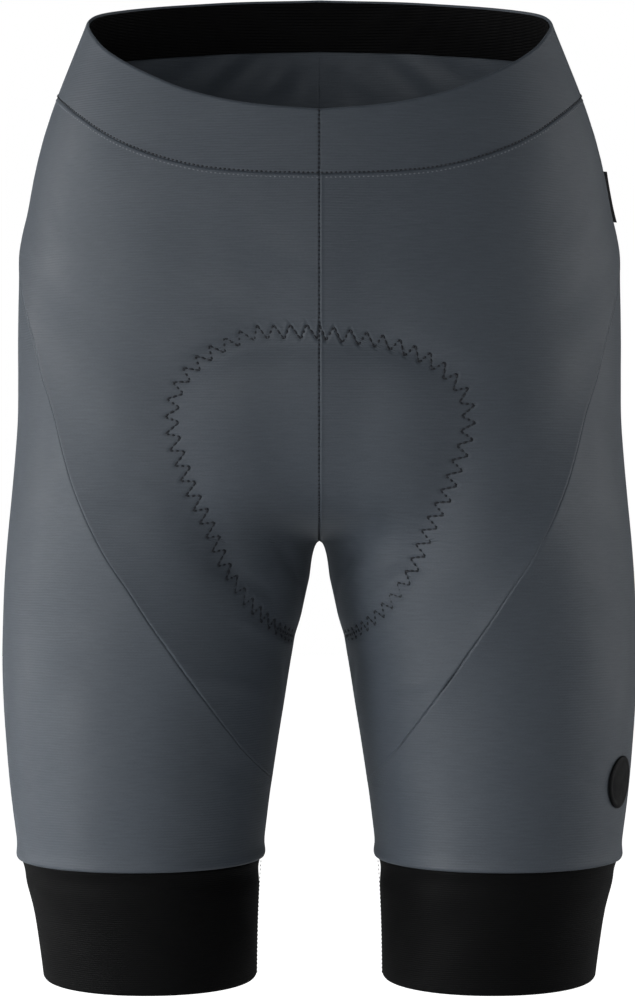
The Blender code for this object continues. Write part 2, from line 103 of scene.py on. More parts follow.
def read_rows(rows: Array, at: Array | float) -> Array:
    """Read the columns after the first by a smooth curve through the rows.

    Args:
        rows: a table from `table`.
        at: keys to read at.

    Returns:
        One row of columns for each key.
    """
    at = np.asarray(at, float)
    key, value = rows[:, 0], rows[:, 1:]
    width = np.diff(key)
    slope = np.diff(value, axis=0) / width[:, None]
    tangent = np.empty_like(value)
    weighted = slope[:-1] * width[1:, None] + slope[1:] * width[:-1, None]
    tangent[1:-1] = weighted / (width[1:] + width[:-1])[:, None]
    tangent[0], tangent[-1] = slope[0], slope[-1]
    at = np.clip(at, key[0], key[-1])
    index = np.clip(np.searchsorted(key, at, side="right") - 1, 0, len(key) - 2)
    t = ((at - key[index]) / width[index])[..., None]
    step = width[index][..., None]
    return (
        value[index] * (2 * t**3 - 3 * t**2 + 1)
        + value[index + 1] * (3 * t**2 - 2 * t**3)
        + tangent[index] * step * (t**3 - 2 * t**2 + t)
        + tangent[index + 1] * step * (t**3 - t**2)
    )


def read_line(rows: Array, at: Array | float) -> Array:
    """Read a table of two columns.

    Args:
        rows: a table whose second column is wanted.
        at: keys to read at.

    Returns:
        The second column at each key.
    """
    return read_rows(rows, at)[..., 0]


def soft_step(value: Array) -> Array:
    """A smooth rise from 0 to 1 as the value goes from 0 to 1."""
    value = np.clip(value, 0, 1)
    return value * value * (3 - 2 * value)


@dataclass(frozen=True)
class Form:
    """The filled-out body of the shorts, in millimetres.

    Half of the body is read by height; angles run from the outer side, +90 to the front, -90 to
    the back and 180 on the inside of the leg.
    """

    sections: Array = field(default_factory=lambda: table(
        (-500, 147.8, 33.2, 90.5, 72.5, 53.0, 1.5, 2.10),
        (-480, 150.4, 33.0, 91.5, 75.0, 56.0, 1.5, 2.10),
        (-458, 154.0, 32.4, 93.0, 78.0, 60.0, 1.5, 2.10),
        (-436, 160.0, 31.2, 95.5, 82.0, 65.5, 1.5, 2.10),
        (-413, 163.6, 28.6, 96.0, 85.5, 70.5, 1.5, 2.10),
        (-391, 166.3, 25.8, 96.0, 88.5, 75.0, 1.5, 2.10),
        (-370, 168.2, 22.6, 95.4, 91.0, 80.0, 1.5, 2.10),
        (-348, 169.8, 19.0, 94.4, 93.0, 85.0, 1.5, 2.10),
        (-326, 170.6, 15.5, 93.0, 95.0, 91.0, 1.5, 2.10),
        (-305, 170.4, 11.5, 91.0, 96.5, 97.0, 1.5, 2.10),
        (-283, 169.8, 6.8, 88.3, 98.0, 105.0, 1.5, 2.10),
        (-262, 168.5, 2.1, 84.0, 99.5, 113.0, 1.5, 2.10),
        (-240, 166.6, -15.0, 79.0, 101.5, 120.5, 25.0, 2.10),
        (-218, 164.7, -30.0, 73.0, 104.0, 126.0, 33.0, 2.12),
        (-197, 163.2, -38.0, 66.0, 106.0, 128.0, 35.0, 2.14),
        (-175, 162.9, -45.0, 57.0, 107.0, 128.0, 37.0, 2.16),
        (-154, 162.8, -54.0, 46.0, 107.3, 127.0, 34.0, 2.18),
        (-132, 162.0, -66.0, 34.0, 107.0, 125.0, 30.0, 2.20),
        (-110, 160.1, -82.0, 23.0, 106.0, 122.0, 30.0, 2.20),
        (-89, 157.1, -98.0, 14.0, 104.0, 118.0, 30.0, 2.20),
        (-67, 154.0, -112.0, 7.0, 101.0, 113.5, 30.0, 2.20),
        (-46, 149.2, -124.0, 3.0, 98.0, 109.0, 30.0, 2.18),
        (-24, 142.0, -130.0, 0.0, 94.0, 103.0, 30.0, 2.15),
        (-2, 133.4, -128.0, 0.0, 89.5, 97.5, 30.0, 2.12),
        (18, 125.5, -124.0, 0.0, 85.0, 93.0, 30.0, 2.10),
        (45, 117.0, -117.0, 0.0, 79.0, 87.0, 30.0, 2.10),
    ))
    rim: Array = field(default_factory=lambda: table(
        (-180, 41.5), (-90, 41.5), (-50, 38.4), (-29, 33.5), (-21, 30.7), (-5, 23.5), (4, 18.0),
        (16, 7.5), (24, -1.5), (32, -9.8), (41.5, -18.8), (51, -26.5), (60, -31.4), (69, -34.8),
        (80, -37.1), (90, -38.4), (180, -38.4),
    ))
    band: Array = field(default_factory=lambda: table(
        (-180, -24.0), (-90, -24.0), (-45, -19.5), (-20, -17.5), (0, -21.0), (15, -29.5),
        (24.5, -38.5), (32, -46.8), (39.6, -54.5), (50, -62.5), (62, -68.6), (74, -71.2),
        (94, -72.6), (180, -72.6),
    ))
    front_seam: Array = field(default_factory=lambda: table(
        (-391, 178), (-387, 163), (-382, 150), (-372, 134.5), (-361, 124.5), (-345, 113.5),
        (-330, 105), (-315, 97.5), (-300, 90.5), (-287, 85), (-271, 77.6), (-250, 69.3),
        (-233, 63), (-216, 57.2), (-195, 49.5), (-175, 40), (-150, 28.5), (-125, 13.5),
        (-108, 2), (-85, -10), (-50, -22),
    ))
    back_seam: Array = field(default_factory=lambda: table(
        (-391, -178), (-387, -165), (-382, -154), (-372, -139), (-361, -129), (-345, -118),
        (-330, -110), (-315, -103), (-300, -96.5), (-271, -84.5), (-233, -70), (-195, -58.5),
        (-150, -49), (-110, -45), (-50, -47),
    ))
    pad_front: Array = field(default_factory=lambda: table(
        (-314, 176), (-312, 160), (-309, 148), (-303, 136), (-294, 125.5), (-284, 118.5),
        (-274, 113), (-266, 109.3), (-257, 105.2), (-250, 102.2), (-240, 97.7), (-230, 94.3),
        (-220, 91), (-211, 88), (-200, 85.3), (-190, 83.8), (-180, 84), (-172, 86),
        (-166, 88.5), (-162, 91.5), (-157, 96), (-140, 88), (-100, 72), (-50, 60),
    ))
    pad_back: Array = field(default_factory=lambda: table(
        (-314, -176), (-312, -163), (-309, -153), (-303, -143), (-294, -133), (-284, -126),
        (-270, -117), (-250, -105), (-230, -95), (-210, -88), (-190, -86), (-180, -88),
        (-170, -93.5), (-163, -100), (-157, -108), (-140, -100), (-100, -84), (-50, -68),
    ))
    pad_raise: float = 0.9
    pad_rounding: float = 7.0
    raise_run: float = 14.0
    bulge_run: float = 34.0
    bulge_rise: float = 32.0
    valley_end: float = -296.0
    valley_rise: float = 30.0
    cuff_tilt: float = 3.0
    hem_tilt: float = 4.0
    longest: float = 260.0
    halvings: int = 34
    probe: float = 0.05

    def half(self, z: Array) -> list[Array]:
        """The seven columns of the half section at each height."""
        columns = read_rows(self.sections, z)
        return [columns[..., k] for k in range(7)]

    def value(self, x: Array, y: Array, z: Array) -> Array:
        """Under 1 inside the body and over 1 outside it.

        Args:
            x: distance from the middle plane, 0 or more.
            y: depth, positive to the back.
            z: height.

        Returns:
            The value at each point.
        """
        outer, inner, centre, front, back, fold, power = self.half(z)
        reach_out = np.sqrt(outer**2 + fold**2) - centre
        rounded = np.sqrt(x**2 + fold**2)
        reach = np.where(rounded > centre, reach_out, centre - inner)
        across = (np.abs(rounded - centre) / reach) ** power
        return across + (np.abs(y - (back - front) / 2) / ((back + front) / 2)) ** power

    def edge(self, z: Array) -> Array:
        """The angle where a half meets the middle plane, or 180 on the separate legs.

        Args:
            z: heights.

        Returns:
            The angle at each height, in degrees.
        """
        outer, inner, centre, front, back, fold, power = self.half(z)
        reach_out = np.sqrt(outer**2 + fold**2) - centre
        reach = np.where(centre > fold, centre - inner, reach_out)
        share = np.clip(np.abs(centre - fold) / reach, 0, 1)
        depth = (back + front) / 2 * (1 - share**power) ** (1 / power)
        return np.degrees(np.arctan2(depth, -centre))

    def bare(self, angle: Array | float, z: Array | float) -> Array:
        """Points of the body without relief.

        Args:
            angle: angles in degrees.
            z: heights.

        Returns:
            Points of the wearer's left half.
        """
        angle, z = np.broadcast_arrays(np.radians(np.asarray(angle, float)), np.asarray(z, float))
        columns = self.half(z)
        centre, middle = columns[2], (columns[4] - columns[3]) / 2
        cosine, sine = np.cos(angle), np.sin(angle)
        low = np.zeros_like(cosine)
        inward = np.minimum(self.longest, centre / np.maximum(-cosine, 1e-9))
        high = np.where(cosine < -1e-9, inward, self.longest)
        for _ in range(self.halvings):
            trial = (low + high) / 2
            inside = self.value(centre + trial * cosine, middle - trial * sine, z) < 1
            low = np.where(inside, trial, low)
            high = np.where(inside, high, trial)
        return np.stack([centre + low * cosine, middle - low * sine, z], -1)

    def normals(self, points: Array) -> Array:
        """Outward unit normals of the body.

        Args:
            points: points of its wearer's left half.

        Returns:
            The normal at each point.
        """
        gradient = []
        for axis in range(3):
            shift = np.zeros(3)
            shift[axis] = self.probe
            ahead, behind = points + shift, points - shift
            rise = self.value(ahead[..., 0], ahead[..., 1], ahead[..., 2])
            gradient.append(rise - self.value(behind[..., 0], behind[..., 1], behind[..., 2]))
        stacked = np.stack(gradient, -1)
        stacked[..., 0] = np.where(points[..., 0] < 1e-6, 0.0, stacked[..., 0])
        return stacked / np.linalg.norm(stacked, axis=-1, keepdims=True)

    def relief(self, angle: Array, z: Array) -> Array:
        """How far the cloth stands out over the pad, and how far it dips at the pad's edge.

        Args:
            angle: angles in degrees.
            z: heights.

        Returns:
            The distance outwards.
        """
        front, back = read_line(self.pad_front, z), -read_line(self.pad_back, z)
        across = (np.abs(angle) - np.where(angle > 0, front, back)) * DEGREE
        along = np.minimum(PAD_TOP - z, z - PAD_BOTTOM)
        soft = self.pad_rounding
        inside = -soft * np.logaddexp(-across / soft, -along / soft)
        raised = self.pad_raise * soft_step(inside / self.raise_run)
        bulge = PAD_BULGE * soft_step(inside / self.bulge_run)
        bulge = bulge * soft_step((z - CROTCH) / self.bulge_rise)
        valley = PAD_VALLEY * np.exp(-((inside / PAD_VALLEY_WIDTH) ** 2))
        valley = valley * soft_step((z - self.valley_end) / self.valley_rise)
        return raised + bulge - valley

    def skin(self, angle: Array | float, z: Array | float, depth: Array | float = 0.0) -> Array:
        """Points of the cloth.

        Args:
            angle: angles in degrees.
            z: heights.
            depth: distance inwards from the outer face.

        Returns:
            Points of the wearer's left half.
        """
        points = self.bare(angle, z)
        offset = self.relief(np.asarray(angle, float), np.asarray(z, float)) - depth
        return points + self.normals(points) * np.asarray(offset)[..., None]

    def height(self, level: Array | float, angle: Array | float) -> Array:
        """The height of a level at an angle, where named levels follow the seams and edges.

        Args:
            level: levels.
            angle: angles in degrees.

        Returns:
            The height for each pair.
        """
        level, angle = np.broadcast_arrays(np.asarray(level, float), np.asarray(angle, float))
        rim, band = read_line(self.rim, angle), read_line(self.band, angle)
        turn = np.sin(np.radians(angle))
        cuff, hem = CUFF - self.cuff_tilt * turn, HEM - self.hem_tilt * turn
        z = np.where(level > HIP, HIP + (level - HIP) / (BAND - HIP) * (band - HIP), level)
        z = np.where(level > BAND, band + (level - BAND) / (RIM - BAND) * (rim - band), z)
        z = np.where(level < LEG, LEG + (level - LEG) / (CUFF - LEG) * (cuff - LEG), z)
        return np.where(level < CUFF, cuff + (level - CUFF) / (HEM - CUFF) * (hem - cuff), z)

    def edge_at(self, level: Array, face: Face) -> Array:
        """The angle of the middle plane, or of the inseam.

        Args:
            level: levels.
            face: front or back.

        Returns:
            The angle at each level.
        """
        angle = np.full(np.shape(level), 100.0) * face.value
        for _ in range(6):
            angle = self.edge(self.height(level, angle)) * face.value
        return angle


FORM = Form()


def graded(*spans: tuple[float, float, float]) -> Array:
    """Values that step evenly through spans one after another.

    Args:
        spans: start, stop and step of each span.

    Returns:
        The values, with shared ends kept once.
    """
    values: list[float] = []
    for start, stop, step in spans:
        count = max(1, round(abs(stop - start) / step))
        values += list(np.linspace(start, stop, count + 1)[:-1])
    return np.array(values + [spans[-1][1]])


def along_rows(stops: list[Array], counts: list[int]) -> Array:
    """Columns that step evenly between stops, row by row.

    Args:
        stops: the stops, each with one value a row.
        counts: how many steps lie between one stop and the next.

    Returns:
        One row of values for each row of the stops.
    """
    parts = []
    for start, stop, count in zip(stops[:-1], stops[1:], counts):
        share = np.linspace(0, 1, count + 1)[:-1]
        parts.append(start[:, None] + (stop - start)[:, None] * share)
    return np.concatenate(parts + [stops[-1][:, None]], axis=1)


def resample(path: Array, step: float) -> Array:
    """Points an even distance apart along a path, its ends kept.

    Args:
        path: the path.
        step: about how far apart the points lie.

    Returns:
        The new path.
    """
    run = run_of(path)
    return point_at(path, run, np.linspace(0, run[-1], max(2, round(run[-1] / step) + 1)))


def run_of(path: Array) -> Array:
    """The distance from the start of a path to each of its points."""
    lengths = np.linalg.norm(np.diff(path, axis=0), axis=1)
    return np.concatenate([[0.0], np.cumsum(lengths)])


def point_at(path: Array, run: Array, places: Array) -> Array:
    """The points of a path at places along it.

    Args:
        path: the path.
        run: the run of its points, from `run_of`.
        places: distances from its start.

    Returns:
        One point for each place.
    """
    return np.stack([np.interp(places, run, path[:, k]) for k in range(path.shape[1])], -1)


def on_side(points: Array, side: Side) -> Array:
    """Points of the left half, or their mirror image."""
    return points * np.array([side.value, 1, 1])


def line_on_form(angles: Array, heights: Array, step: float = 1.0) -> Array:
    """An evenly divided line on the cloth through angles and heights."""
    return resample(FORM.skin(angles, heights), step)


@dataclass(frozen=True)
class Trough:
    """A soft trough along a path, or a ridge where its depth is negative, in millimetres.

    With puff the cloth rises a little beside it; a tent's sides meet in an edge on the path, and a
    trough that fades has soft ends.
    """

    path: Array
    depth: float
    width: float
    fades: bool = False
    puff: float = 0.0
    tent: bool = False
    puff_width: float = 2.2
    fade_power: float = 0.7

    def press(self, points: Array) -> Array:
        """How far the trough presses in each point.

        Args:
            points: points of the left half.

        Returns:
            The depths, in the points' layout.
        """
        reach = self.width * (SOFT_REACH if self.puff or self.tent else REACH)
        flat = points.reshape(-1, 3)
        low, high = self.path.min(0) - reach, self.path.max(0) + reach
        close = np.flatnonzero(((flat > low) & (flat < high)).all(1))
        depth = np.zeros(len(flat))
        if len(close) == 0:
            return depth.reshape(points.shape[:-1])
        tree = KDTree(len(self.path))
        for index, place in enumerate(self.path):
            tree.insert(Vector(place), index)
        tree.balance()
        found = [tree.find(Vector(place))[1:] for place in flat[close]]
        nearest = np.array([index for index, _ in found])
        distance = np.array([gap for _, gap in found])
        near = distance / self.width
        shape = np.exp(-near) if self.tent else np.exp(-(near**2))
        amount = self.depth * (shape - self.puff * np.exp(-((near / self.puff_width) ** 2)))
        if self.fades:
            share = nearest / (len(self.path) - 1)
            amount *= np.clip(np.sin(np.pi * share), 0, 1) ** self.fade_power
        depth[close] = amount
        return depth.reshape(points.shape[:-1])


def laid_on(line: Array, troughs: list[Trough], sunk: float = 0.0) -> Array:
    """A line of the form laid on the cloth, where troughs have pressed it in.

    Args:
        line: the line, on the left half.
        troughs: the seams and folds near it.
        sunk: how far it lies under the cloth's face besides.

    Returns:
        The line in its new place.
    """
    pressed = sum((trough.press(line) for trough in troughs), np.full(len(line), sunk))
    return line - FORM.normals(line) * pressed[:, None]


def crease(start: tuple[float, float], stop: tuple[float, float], depth: float, width: float,
           bow: float = 0.0) -> Trough:
    """A soft fold from one angle and height to another.

    Args:
        start: its first angle and height.
        stop: its last angle and height.
        depth: how deep it is, negative for a ridge.
        width: its half width.
        bow: how far its middle leaves the straight line, in degrees.

    Returns:
        The fold as a trough that fades at both ends.
    """
    share = np.linspace(0, 1, 25)
    angles = start[0] + (stop[0] - start[0]) * share + bow * np.sin(np.pi * share)
    heights = start[1] + (stop[1] - start[1]) * share
    return Trough(line_on_form(angles, heights), depth, width, True)


class Seams:
    """The lines along which the pieces are sewn, on the wearer's left half."""

    def __init__(self) -> None:
        """Work out every seam line once."""
        self.side = {
            Face.FRONT: self._upright(FORM.front_seam),
            Face.BACK: self._upright(FORM.back_seam),
        }
        self.centre = {face: self._centre(face, BAND, CROTCH) for face in Face}
        self.band_centre = {face: self._centre(face, RIM, BAND) for face in Face}
        self.inseam = line_on_form(np.full(80, 180.0), np.linspace(CROTCH - 1, HEM, 80))
        self.waist = self._level(BAND)
        self.cuff = self._ring(CUFF)
        self.pad = {(face, side): self._pad(face, side) for face in Face for side in Side}

    def waist_groove(self) -> Trough:
        """The joint of waistband and panels, with the cloth puffed a little beside it."""
        return Trough(self.waist, 0.42, 0.6, puff=0.3)

    def side_groove(self, face: Face) -> Trough:
        """The joint of a side panel and a front or back panel."""
        return Trough(self.side[face], 0.32, 0.6, puff=0.2)

    def middle_groove(self, line: Array) -> Trough:
        """The joint of the left and right pieces, along one of the middle lines."""
        return Trough(line, 0.38, 0.5)

    def inseam_groove(self) -> Trough:
        """The joint on the inside of the leg."""
        return Trough(self.inseam, 0.5, 0.8)

    def pad_dip(self, face: Face, side: Side) -> Trough:
        """The wide, shallow dip that the pad's stitch pulls in."""
        return Trough(self.pad[face, side], 0.3, 6.0)

    @staticmethod
    def _upright(rows: Array) -> Array:
        """A side seam, from the waistband down to the tip of the panel.

        Args:
            rows: the seam's table of angles by level.

        Returns:
            The seam's line.
        """
        level = graded((BAND, SEAM_TIP, 2.0))
        angles = read_line(rows, level)
        return line_on_form(angles, FORM.height(level, angles))

    @staticmethod
    def _centre(face: Face, top: float, bottom: float) -> Array:
        """The middle line of the front or back.

        Args:
            face: front or back.
            top: the level where it starts.
            bottom: the level where it stops.

        Returns:
            The line.
        """
        level = graded((top, bottom, 2.0))
        angles = FORM.edge_at(level, face)
        return line_on_form(angles, FORM.height(level, angles))

    @staticmethod
    def _level(level: float) -> Array:
        """A line round the waist, from the middle of the back to that of the front.

        Args:
            level: its level.

        Returns:
            The line.
        """
        ends = [float(FORM.edge_at(np.array([level]), face)[0]) for face in (Face.BACK, Face.FRONT)]
        angles = np.linspace(ends[0], ends[1], LINE_POINTS)
        return line_on_form(angles, FORM.height(level, angles))

    @staticmethod
    def _ring(level: float) -> Array:
        """A closed line round the leg at a level."""
        angles = np.linspace(-180, 180, LINE_POINTS)
        return line_on_form(angles, FORM.height(level, angles))

    @staticmethod
    def _pad(face: Face, side: Side) -> Array:
        """The pad's stitch line, from the middle down to the inside of the leg, lower on the left.

        Args:
            face: front or back.
            side: the side.

        Returns:
            The line.
        """
        rows = FORM.pad_front if face is Face.FRONT else FORM.pad_back
        heights = np.linspace(PAD_TOP, PAD_BOTTOM, 160)
        down = read_line(rows, heights)
        middle = float(FORM.edge(np.array(PAD_TOP))) * face.value
        count = 39
        top = np.linspace(middle, down[0], count + 1)[:-1]
        angles = np.concatenate([top, down])
        heights = np.concatenate([np.full(count, PAD_TOP), heights])
        sag = np.concatenate([np.linspace(0, 1, count), np.ones(len(down))]) * PAD_STITCH_SAG
        raised = PAD_STITCH_LIFT - (sag if side is Side.LEFT else 0.0)
        share = soft_step((heights - PAD_LIFT_END) / (PAD_TOP - PAD_LIFT_END))
        return line_on_form(angles, heights + raised * share, 0.5)


@dataclass(frozen=True)
class Zigzag:
    """A zigzag stitch that follows a line, in millimetres.

    Its lean is the share of the pitch that the long leg takes, and the line's direction is taken from
    places a little ahead and behind.
    """

    pitch: float = 8.3
    height: float = 8.0
    lean: float = 0.64
    first: float = 0.3
    end_gap: float = 1.0
    look: float = 2.0

    def corners(self, line: Array, side: Side, face: Face) -> Array:
        """The turning points of the stitch.

        Args:
            line: the line that it follows, on the left half.
            side: the side that it is sewn on, which turns the lean round.
            face: front or back.

        Returns:
            The turning points, on the cloth.
        """
        run = run_of(line)
        lean = self.lean if side is Side.LEFT else 1 - self.lean
        count = int(run[-1] / self.pitch)
        start = np.arange(count) * self.pitch
        places = np.stack([start, start + lean * self.pitch], -1).ravel() + self.first * self.pitch
        places = places[places < run[-1] - self.end_gap]
        offset = np.where(np.arange(len(places)) % 2 == 0, -0.5, 0.5) * self.height
        at = point_at(line, run, places)
        travel = point_at(line, run, places + self.look) - point_at(line, run, places - self.look)
        across = np.cross(travel, FORM.normals(at))
        across /= np.linalg.norm(across, axis=1, keepdims=True)
        return self.settle(at + across * offset[:, None] * face.value)

    @staticmethod
    def settle(points: Array) -> Array:
        """Put points beside the cloth on it.

        Args:
            points: points of the left half.

        Returns:
            The points of the cloth nearest to them.
        """
        x = np.maximum(points[:, 0], 0.0)
        columns = FORM.half(points[:, 2])
        middle = (columns[4] - columns[3]) / 2
        angles = np.degrees(np.arctan2(middle - points[:, 1], x - columns[2]))
        limit = FORM.edge(points[:, 2])
        return FORM.skin(np.clip(angles, -limit, limit), points[:, 2])


def turned_edge(distance: Array, thickness: float, reach: float) -> Array:
    """How much a wall thins on each face towards an edge that is folded over.

    Args:
        distance: how far each place is from the edge.
        thickness: the wall's thickness.
        reach: how far from the edge it starts to thin.

    Returns:
        What comes off each face.
    """
    return EDGE_SHARE * thickness * np.clip(1 - distance / reach, 0, 1) ** 2


def surface_run(points: Array) -> Array:
    """The distance along each row of a grid from its first column."""
    across = np.linalg.norm(np.diff(points, axis=1), axis=-1)
    return np.concatenate([np.zeros((len(points), 1)), np.cumsum(across, axis=1)], axis=1)


def wall(name: str, outer: Array, inner: Array, pressed: Array, material: bpy.types.Material,
         closed: bool = False) -> bpy.types.Object:
    """Build one closed cloth wall between an outer and an inner grid of points.

    Args:
        name: the piece's name.
        outer: points of the face that shows, rows by columns, in millimetres.
        inner: points of the other face in the same layout.
        pressed: from 0 to 1, how much each place is pressed in or stitched down, which the jersey finish
            darkens as painted shade.
        material: its finish.
        closed: whether the last column meets the first.

    Returns:
        The piece, with a map in metres and a "pressed" value on each point.
    """
    rows, columns = outer.shape[:2]
    count = rows * columns
    index = np.arange(count).reshape(rows, columns)
    right = np.roll(index, -1, axis=1)
    last = columns if closed else columns - 1
    cells = np.stack([index[:-1, :last], right[:-1, :last], right[1:, :last], index[1:, :last]], -1)
    cells = cells.reshape(-1, 4)
    rims = [(index[0, :last], right[0, :last]), (right[-1, :last], index[-1, :last])]
    if not closed:
        rims += [(index[:-1, -1], index[1:, -1]), (index[1:, 0], index[:-1, 0])]
    edges = [np.stack([b, a, a + count, b + count], -1) for a, b in rims]
    faces = np.concatenate([cells, cells[:, ::-1] + count, *edges])
    points = np.concatenate([outer.reshape(-1, 3), inner.reshape(-1, 3)])
    a, b, c, d = (points[faces[:, k]] for k in range(4))
    if np.sum(a * np.cross(b, c)) + np.sum(a * np.cross(c, d)) < 0:
        faces = faces[:, ::-1]
    made = add_mesh(name, points, faces.tolist(), material)
    uv = np.stack([surface_run(outer), outer[..., 2]], -1).reshape(-1, 2)
    lay_map(made, np.concatenate([uv, uv]))
    lay_pressed(made, np.concatenate([pressed.ravel(), pressed.ravel()]))
    return made


def add_mesh(name: str, points: Array, faces: list, material: bpy.types.Material) -> bpy.types.Object:
    """Make one smooth mesh object from points in millimetres.

    Args:
        name: the object's name.
        points: its points.
        faces: its faces as lists of point numbers.
        material: its finish.

    Returns:
        The new object, riding on the part's body.
    """
    mesh = bpy.data.meshes.new(name)
    mesh.from_pydata((points * MM).tolist(), [], faces)
    mesh.update()
    mesh.shade_smooth()
    mesh.materials.append(material)
    made = bpy.data.objects.new(name, mesh)
    bpy.context.scene.collection.objects.link(made)
    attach(made, "root")
    LOG.info("%s: %d points, %d faces", name, len(points), len(faces))
    return made


def lay_map(made: bpy.types.Object, uv: Array) -> None:
    """Store each point's place on the cloth.

    Args:
        made: the object.
        uv: the place of each point along and up the cloth, in millimetres.
    """
    layer = made.data.uv_layers.new(name="cloth")
    corners = np.empty(len(made.data.loops), np.int32)
    made.data.loops.foreach_get("vertex_index", corners)
    layer.data.foreach_set("uv", (uv[corners] * MM).astype(np.float32).ravel())


def lay_pressed(made: bpy.types.Object, pressed: Array) -> None:
    """Store how much each point is pressed in, from 0 to 1."""
    layer = made.data.attributes.new("pressed", "FLOAT", "POINT")
    layer.data.foreach_set("value", np.clip(pressed, 0, 1).astype(np.float32))


@dataclass
class Cloth:
    """One piece of cloth on the form, with its seams and folds, in millimetres.

    Seams press its outer face, and its inner face by a share; they go no deeper and stand no higher
    than its limits. Folds move both faces. The pinch thins it, and the depth sets it inwards.
    """

    name: str
    angles: Array
    heights: Array
    thickness: float
    seams: list[Trough] = field(default_factory=list)
    folds: list[Trough] = field(default_factory=list)
    pinch: Array | float = 0.0
    depth: float = 0.0
    closed: bool = False
    deepest: float = 0.9
    highest: float = 1.0
    inner_share: float = 0.4

    def faces(self) -> tuple[Array, Array, Array]:
        """Work out the piece on the wearer's left.

        Returns:
            The outer points, the inner points and how much each place is pressed in.
        """
        bare = FORM.bare(self.angles, self.heights)
        away = FORM.normals(bare)
        skin = bare + away * FORM.relief(self.angles, self.heights)[..., None]
        shape = self.angles.shape
        seam = sum((trough.press(skin) for trough in self.seams), np.zeros(shape))
        fold = sum((trough.press(skin) for trough in self.folds), np.zeros(shape))
        seam = np.clip(seam, -self.highest, self.deepest)
        sunk = fold + self.depth
        outside = -sunk - seam - self.pinch
        inside = -sunk - self.thickness - self.inner_share * seam + self.pinch
        outer = skin + away * np.asarray(outside)[..., None]
        inner = skin + away * np.asarray(inside)[..., None]
        return outer, inner, (np.clip(seam, 0, None) / self.deepest) ** 2

    def make(self, side: Side, material: bpy.types.Material) -> bpy.types.Object:
        """Build the piece for one side.

        Args:
            side: the side.
            material: its finish.

        Returns:
            The piece, which replaces the solid of the same name.
        """
        outer, inner, pressed = self.faces()
        name = f"{self.name}_{side.word}"
        made = wall(f"{name}_cloth", on_side(outer, side), on_side(inner, side), pressed, material,
                    self.closed)
        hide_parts(name)
        return made


@dataclass(frozen=True)
class Stitch:
    """One kind of stitch: its size and how high its thread stands over the cloth, in millimetres.

    Each thread is a flattened tube that swells between blunt ends and is sunk a little in the cloth;
    it fills at most a share of its pitch.
    """

    pitch: float
    length: float
    radius: float
    proud: float
    rings: int = 5
    around: int = 6
    fill: float = 0.9
    blunt: float = 0.06
    sunk: float = 0.5
    flatness: float = 0.75

    def along(self, line: Array) -> tuple[Array, Array]:
        """Where the stitches along a line begin and end.

        Args:
            line: the line.

        Returns:
            The first and the last point of every stitch.
        """
        run = run_of(line)
        count = max(1, round(run[-1] / self.pitch))
        middle = (np.arange(count) + 0.5) * run[-1] / count
        half = min(self.length, self.fill * run[-1] / count) / 2
        return point_at(line, run, middle - half), point_at(line, run, middle + half)

    def sew(self, name: str, lines: list[tuple[Array, Side]], material: bpy.types.Material,
            ) -> bpy.types.Object:
        """Lay stitches along lines as one mesh.

        Args:
            name: the piece's name.
            lines: lines on the left half, each with the side that it is sewn on.
            material: the thread's finish.

        Returns:
            The stitches as one piece.
        """
        points = [self._threads(*self.along(line), side) for line, side in lines]
        stitches = np.concatenate(points)
        count = len(stitches)
        size = self.rings * self.around
        ring = np.arange(self.around)
        after = (ring + 1) % self.around
        tube = [
            np.stack([r * self.around + ring, r * self.around + after,
                      (r + 1) * self.around + after, (r + 1) * self.around + ring], -1)
            for r in range(self.rings - 1)
        ]
        quads = np.concatenate(tube)[None] + np.arange(count)[:, None, None] * size
        caps = [ring[::-1], (self.rings - 1) * self.around + ring]
        ends = np.stack(caps)[None] + np.arange(count)[:, None, None] * size
        faces = quads.reshape(-1, 4).tolist() + ends.reshape(-1, self.around).tolist()
        made = add_mesh(name, stitches.reshape(-1, 3), faces, material)
        lay_map(made, np.tile(self._map(), (count, 1)))
        return made

    def _map(self) -> Array:
        """Where each point of a stitch lies along and round its thread.

        Returns:
            The places, in millimetres.
        """
        along = np.linspace(0, self.length, self.rings)[:, None]
        round_it = (np.arange(self.around) * 2 * np.pi * self.radius / self.around)[None, :]
        grid = np.broadcast_arrays(along, round_it)
        return np.stack(grid, -1).reshape(-1, 2)

    def _threads(self, start: Array, stop: Array, side: Side) -> Array:
        """The points of the stitches, stitch by ring by corner.

        Args:
            start: the first point of every stitch.
            stop: the last ones.
            side: the side that they are sewn on.

        Returns:
            The points of all the stitches.
        """
        away = FORM.normals((start + stop) / 2) * np.array([side.value, 1, 1])
        start, stop = on_side(start, side), on_side(stop, side)
        travel = stop - start
        across = np.cross(travel, away)
        across /= np.linalg.norm(across, axis=1, keepdims=True)
        share = np.linspace(0, 1, self.rings)
        swell = np.sqrt(np.clip(1 - (2 * share - 1) ** 2, self.blunt, 1))
        centre = start[:, None] + travel[:, None] * share[:, None]
        centre = centre + away[:, None] * (self.proud * swell - self.sunk * self.radius)[:, None]
        turn = np.arange(self.around) * 2 * np.pi / self.around
        flat = away[:, None] * self.flatness * np.sin(turn)[:, None]
        shape = across[:, None] * np.cos(turn)[:, None] - flat
        body = centre[:, :, None] + shape[:, None] * (self.radius * swell)[:, None, None]
        if side is Side.RIGHT:
            body = body[:, :, ::-1]
        return body


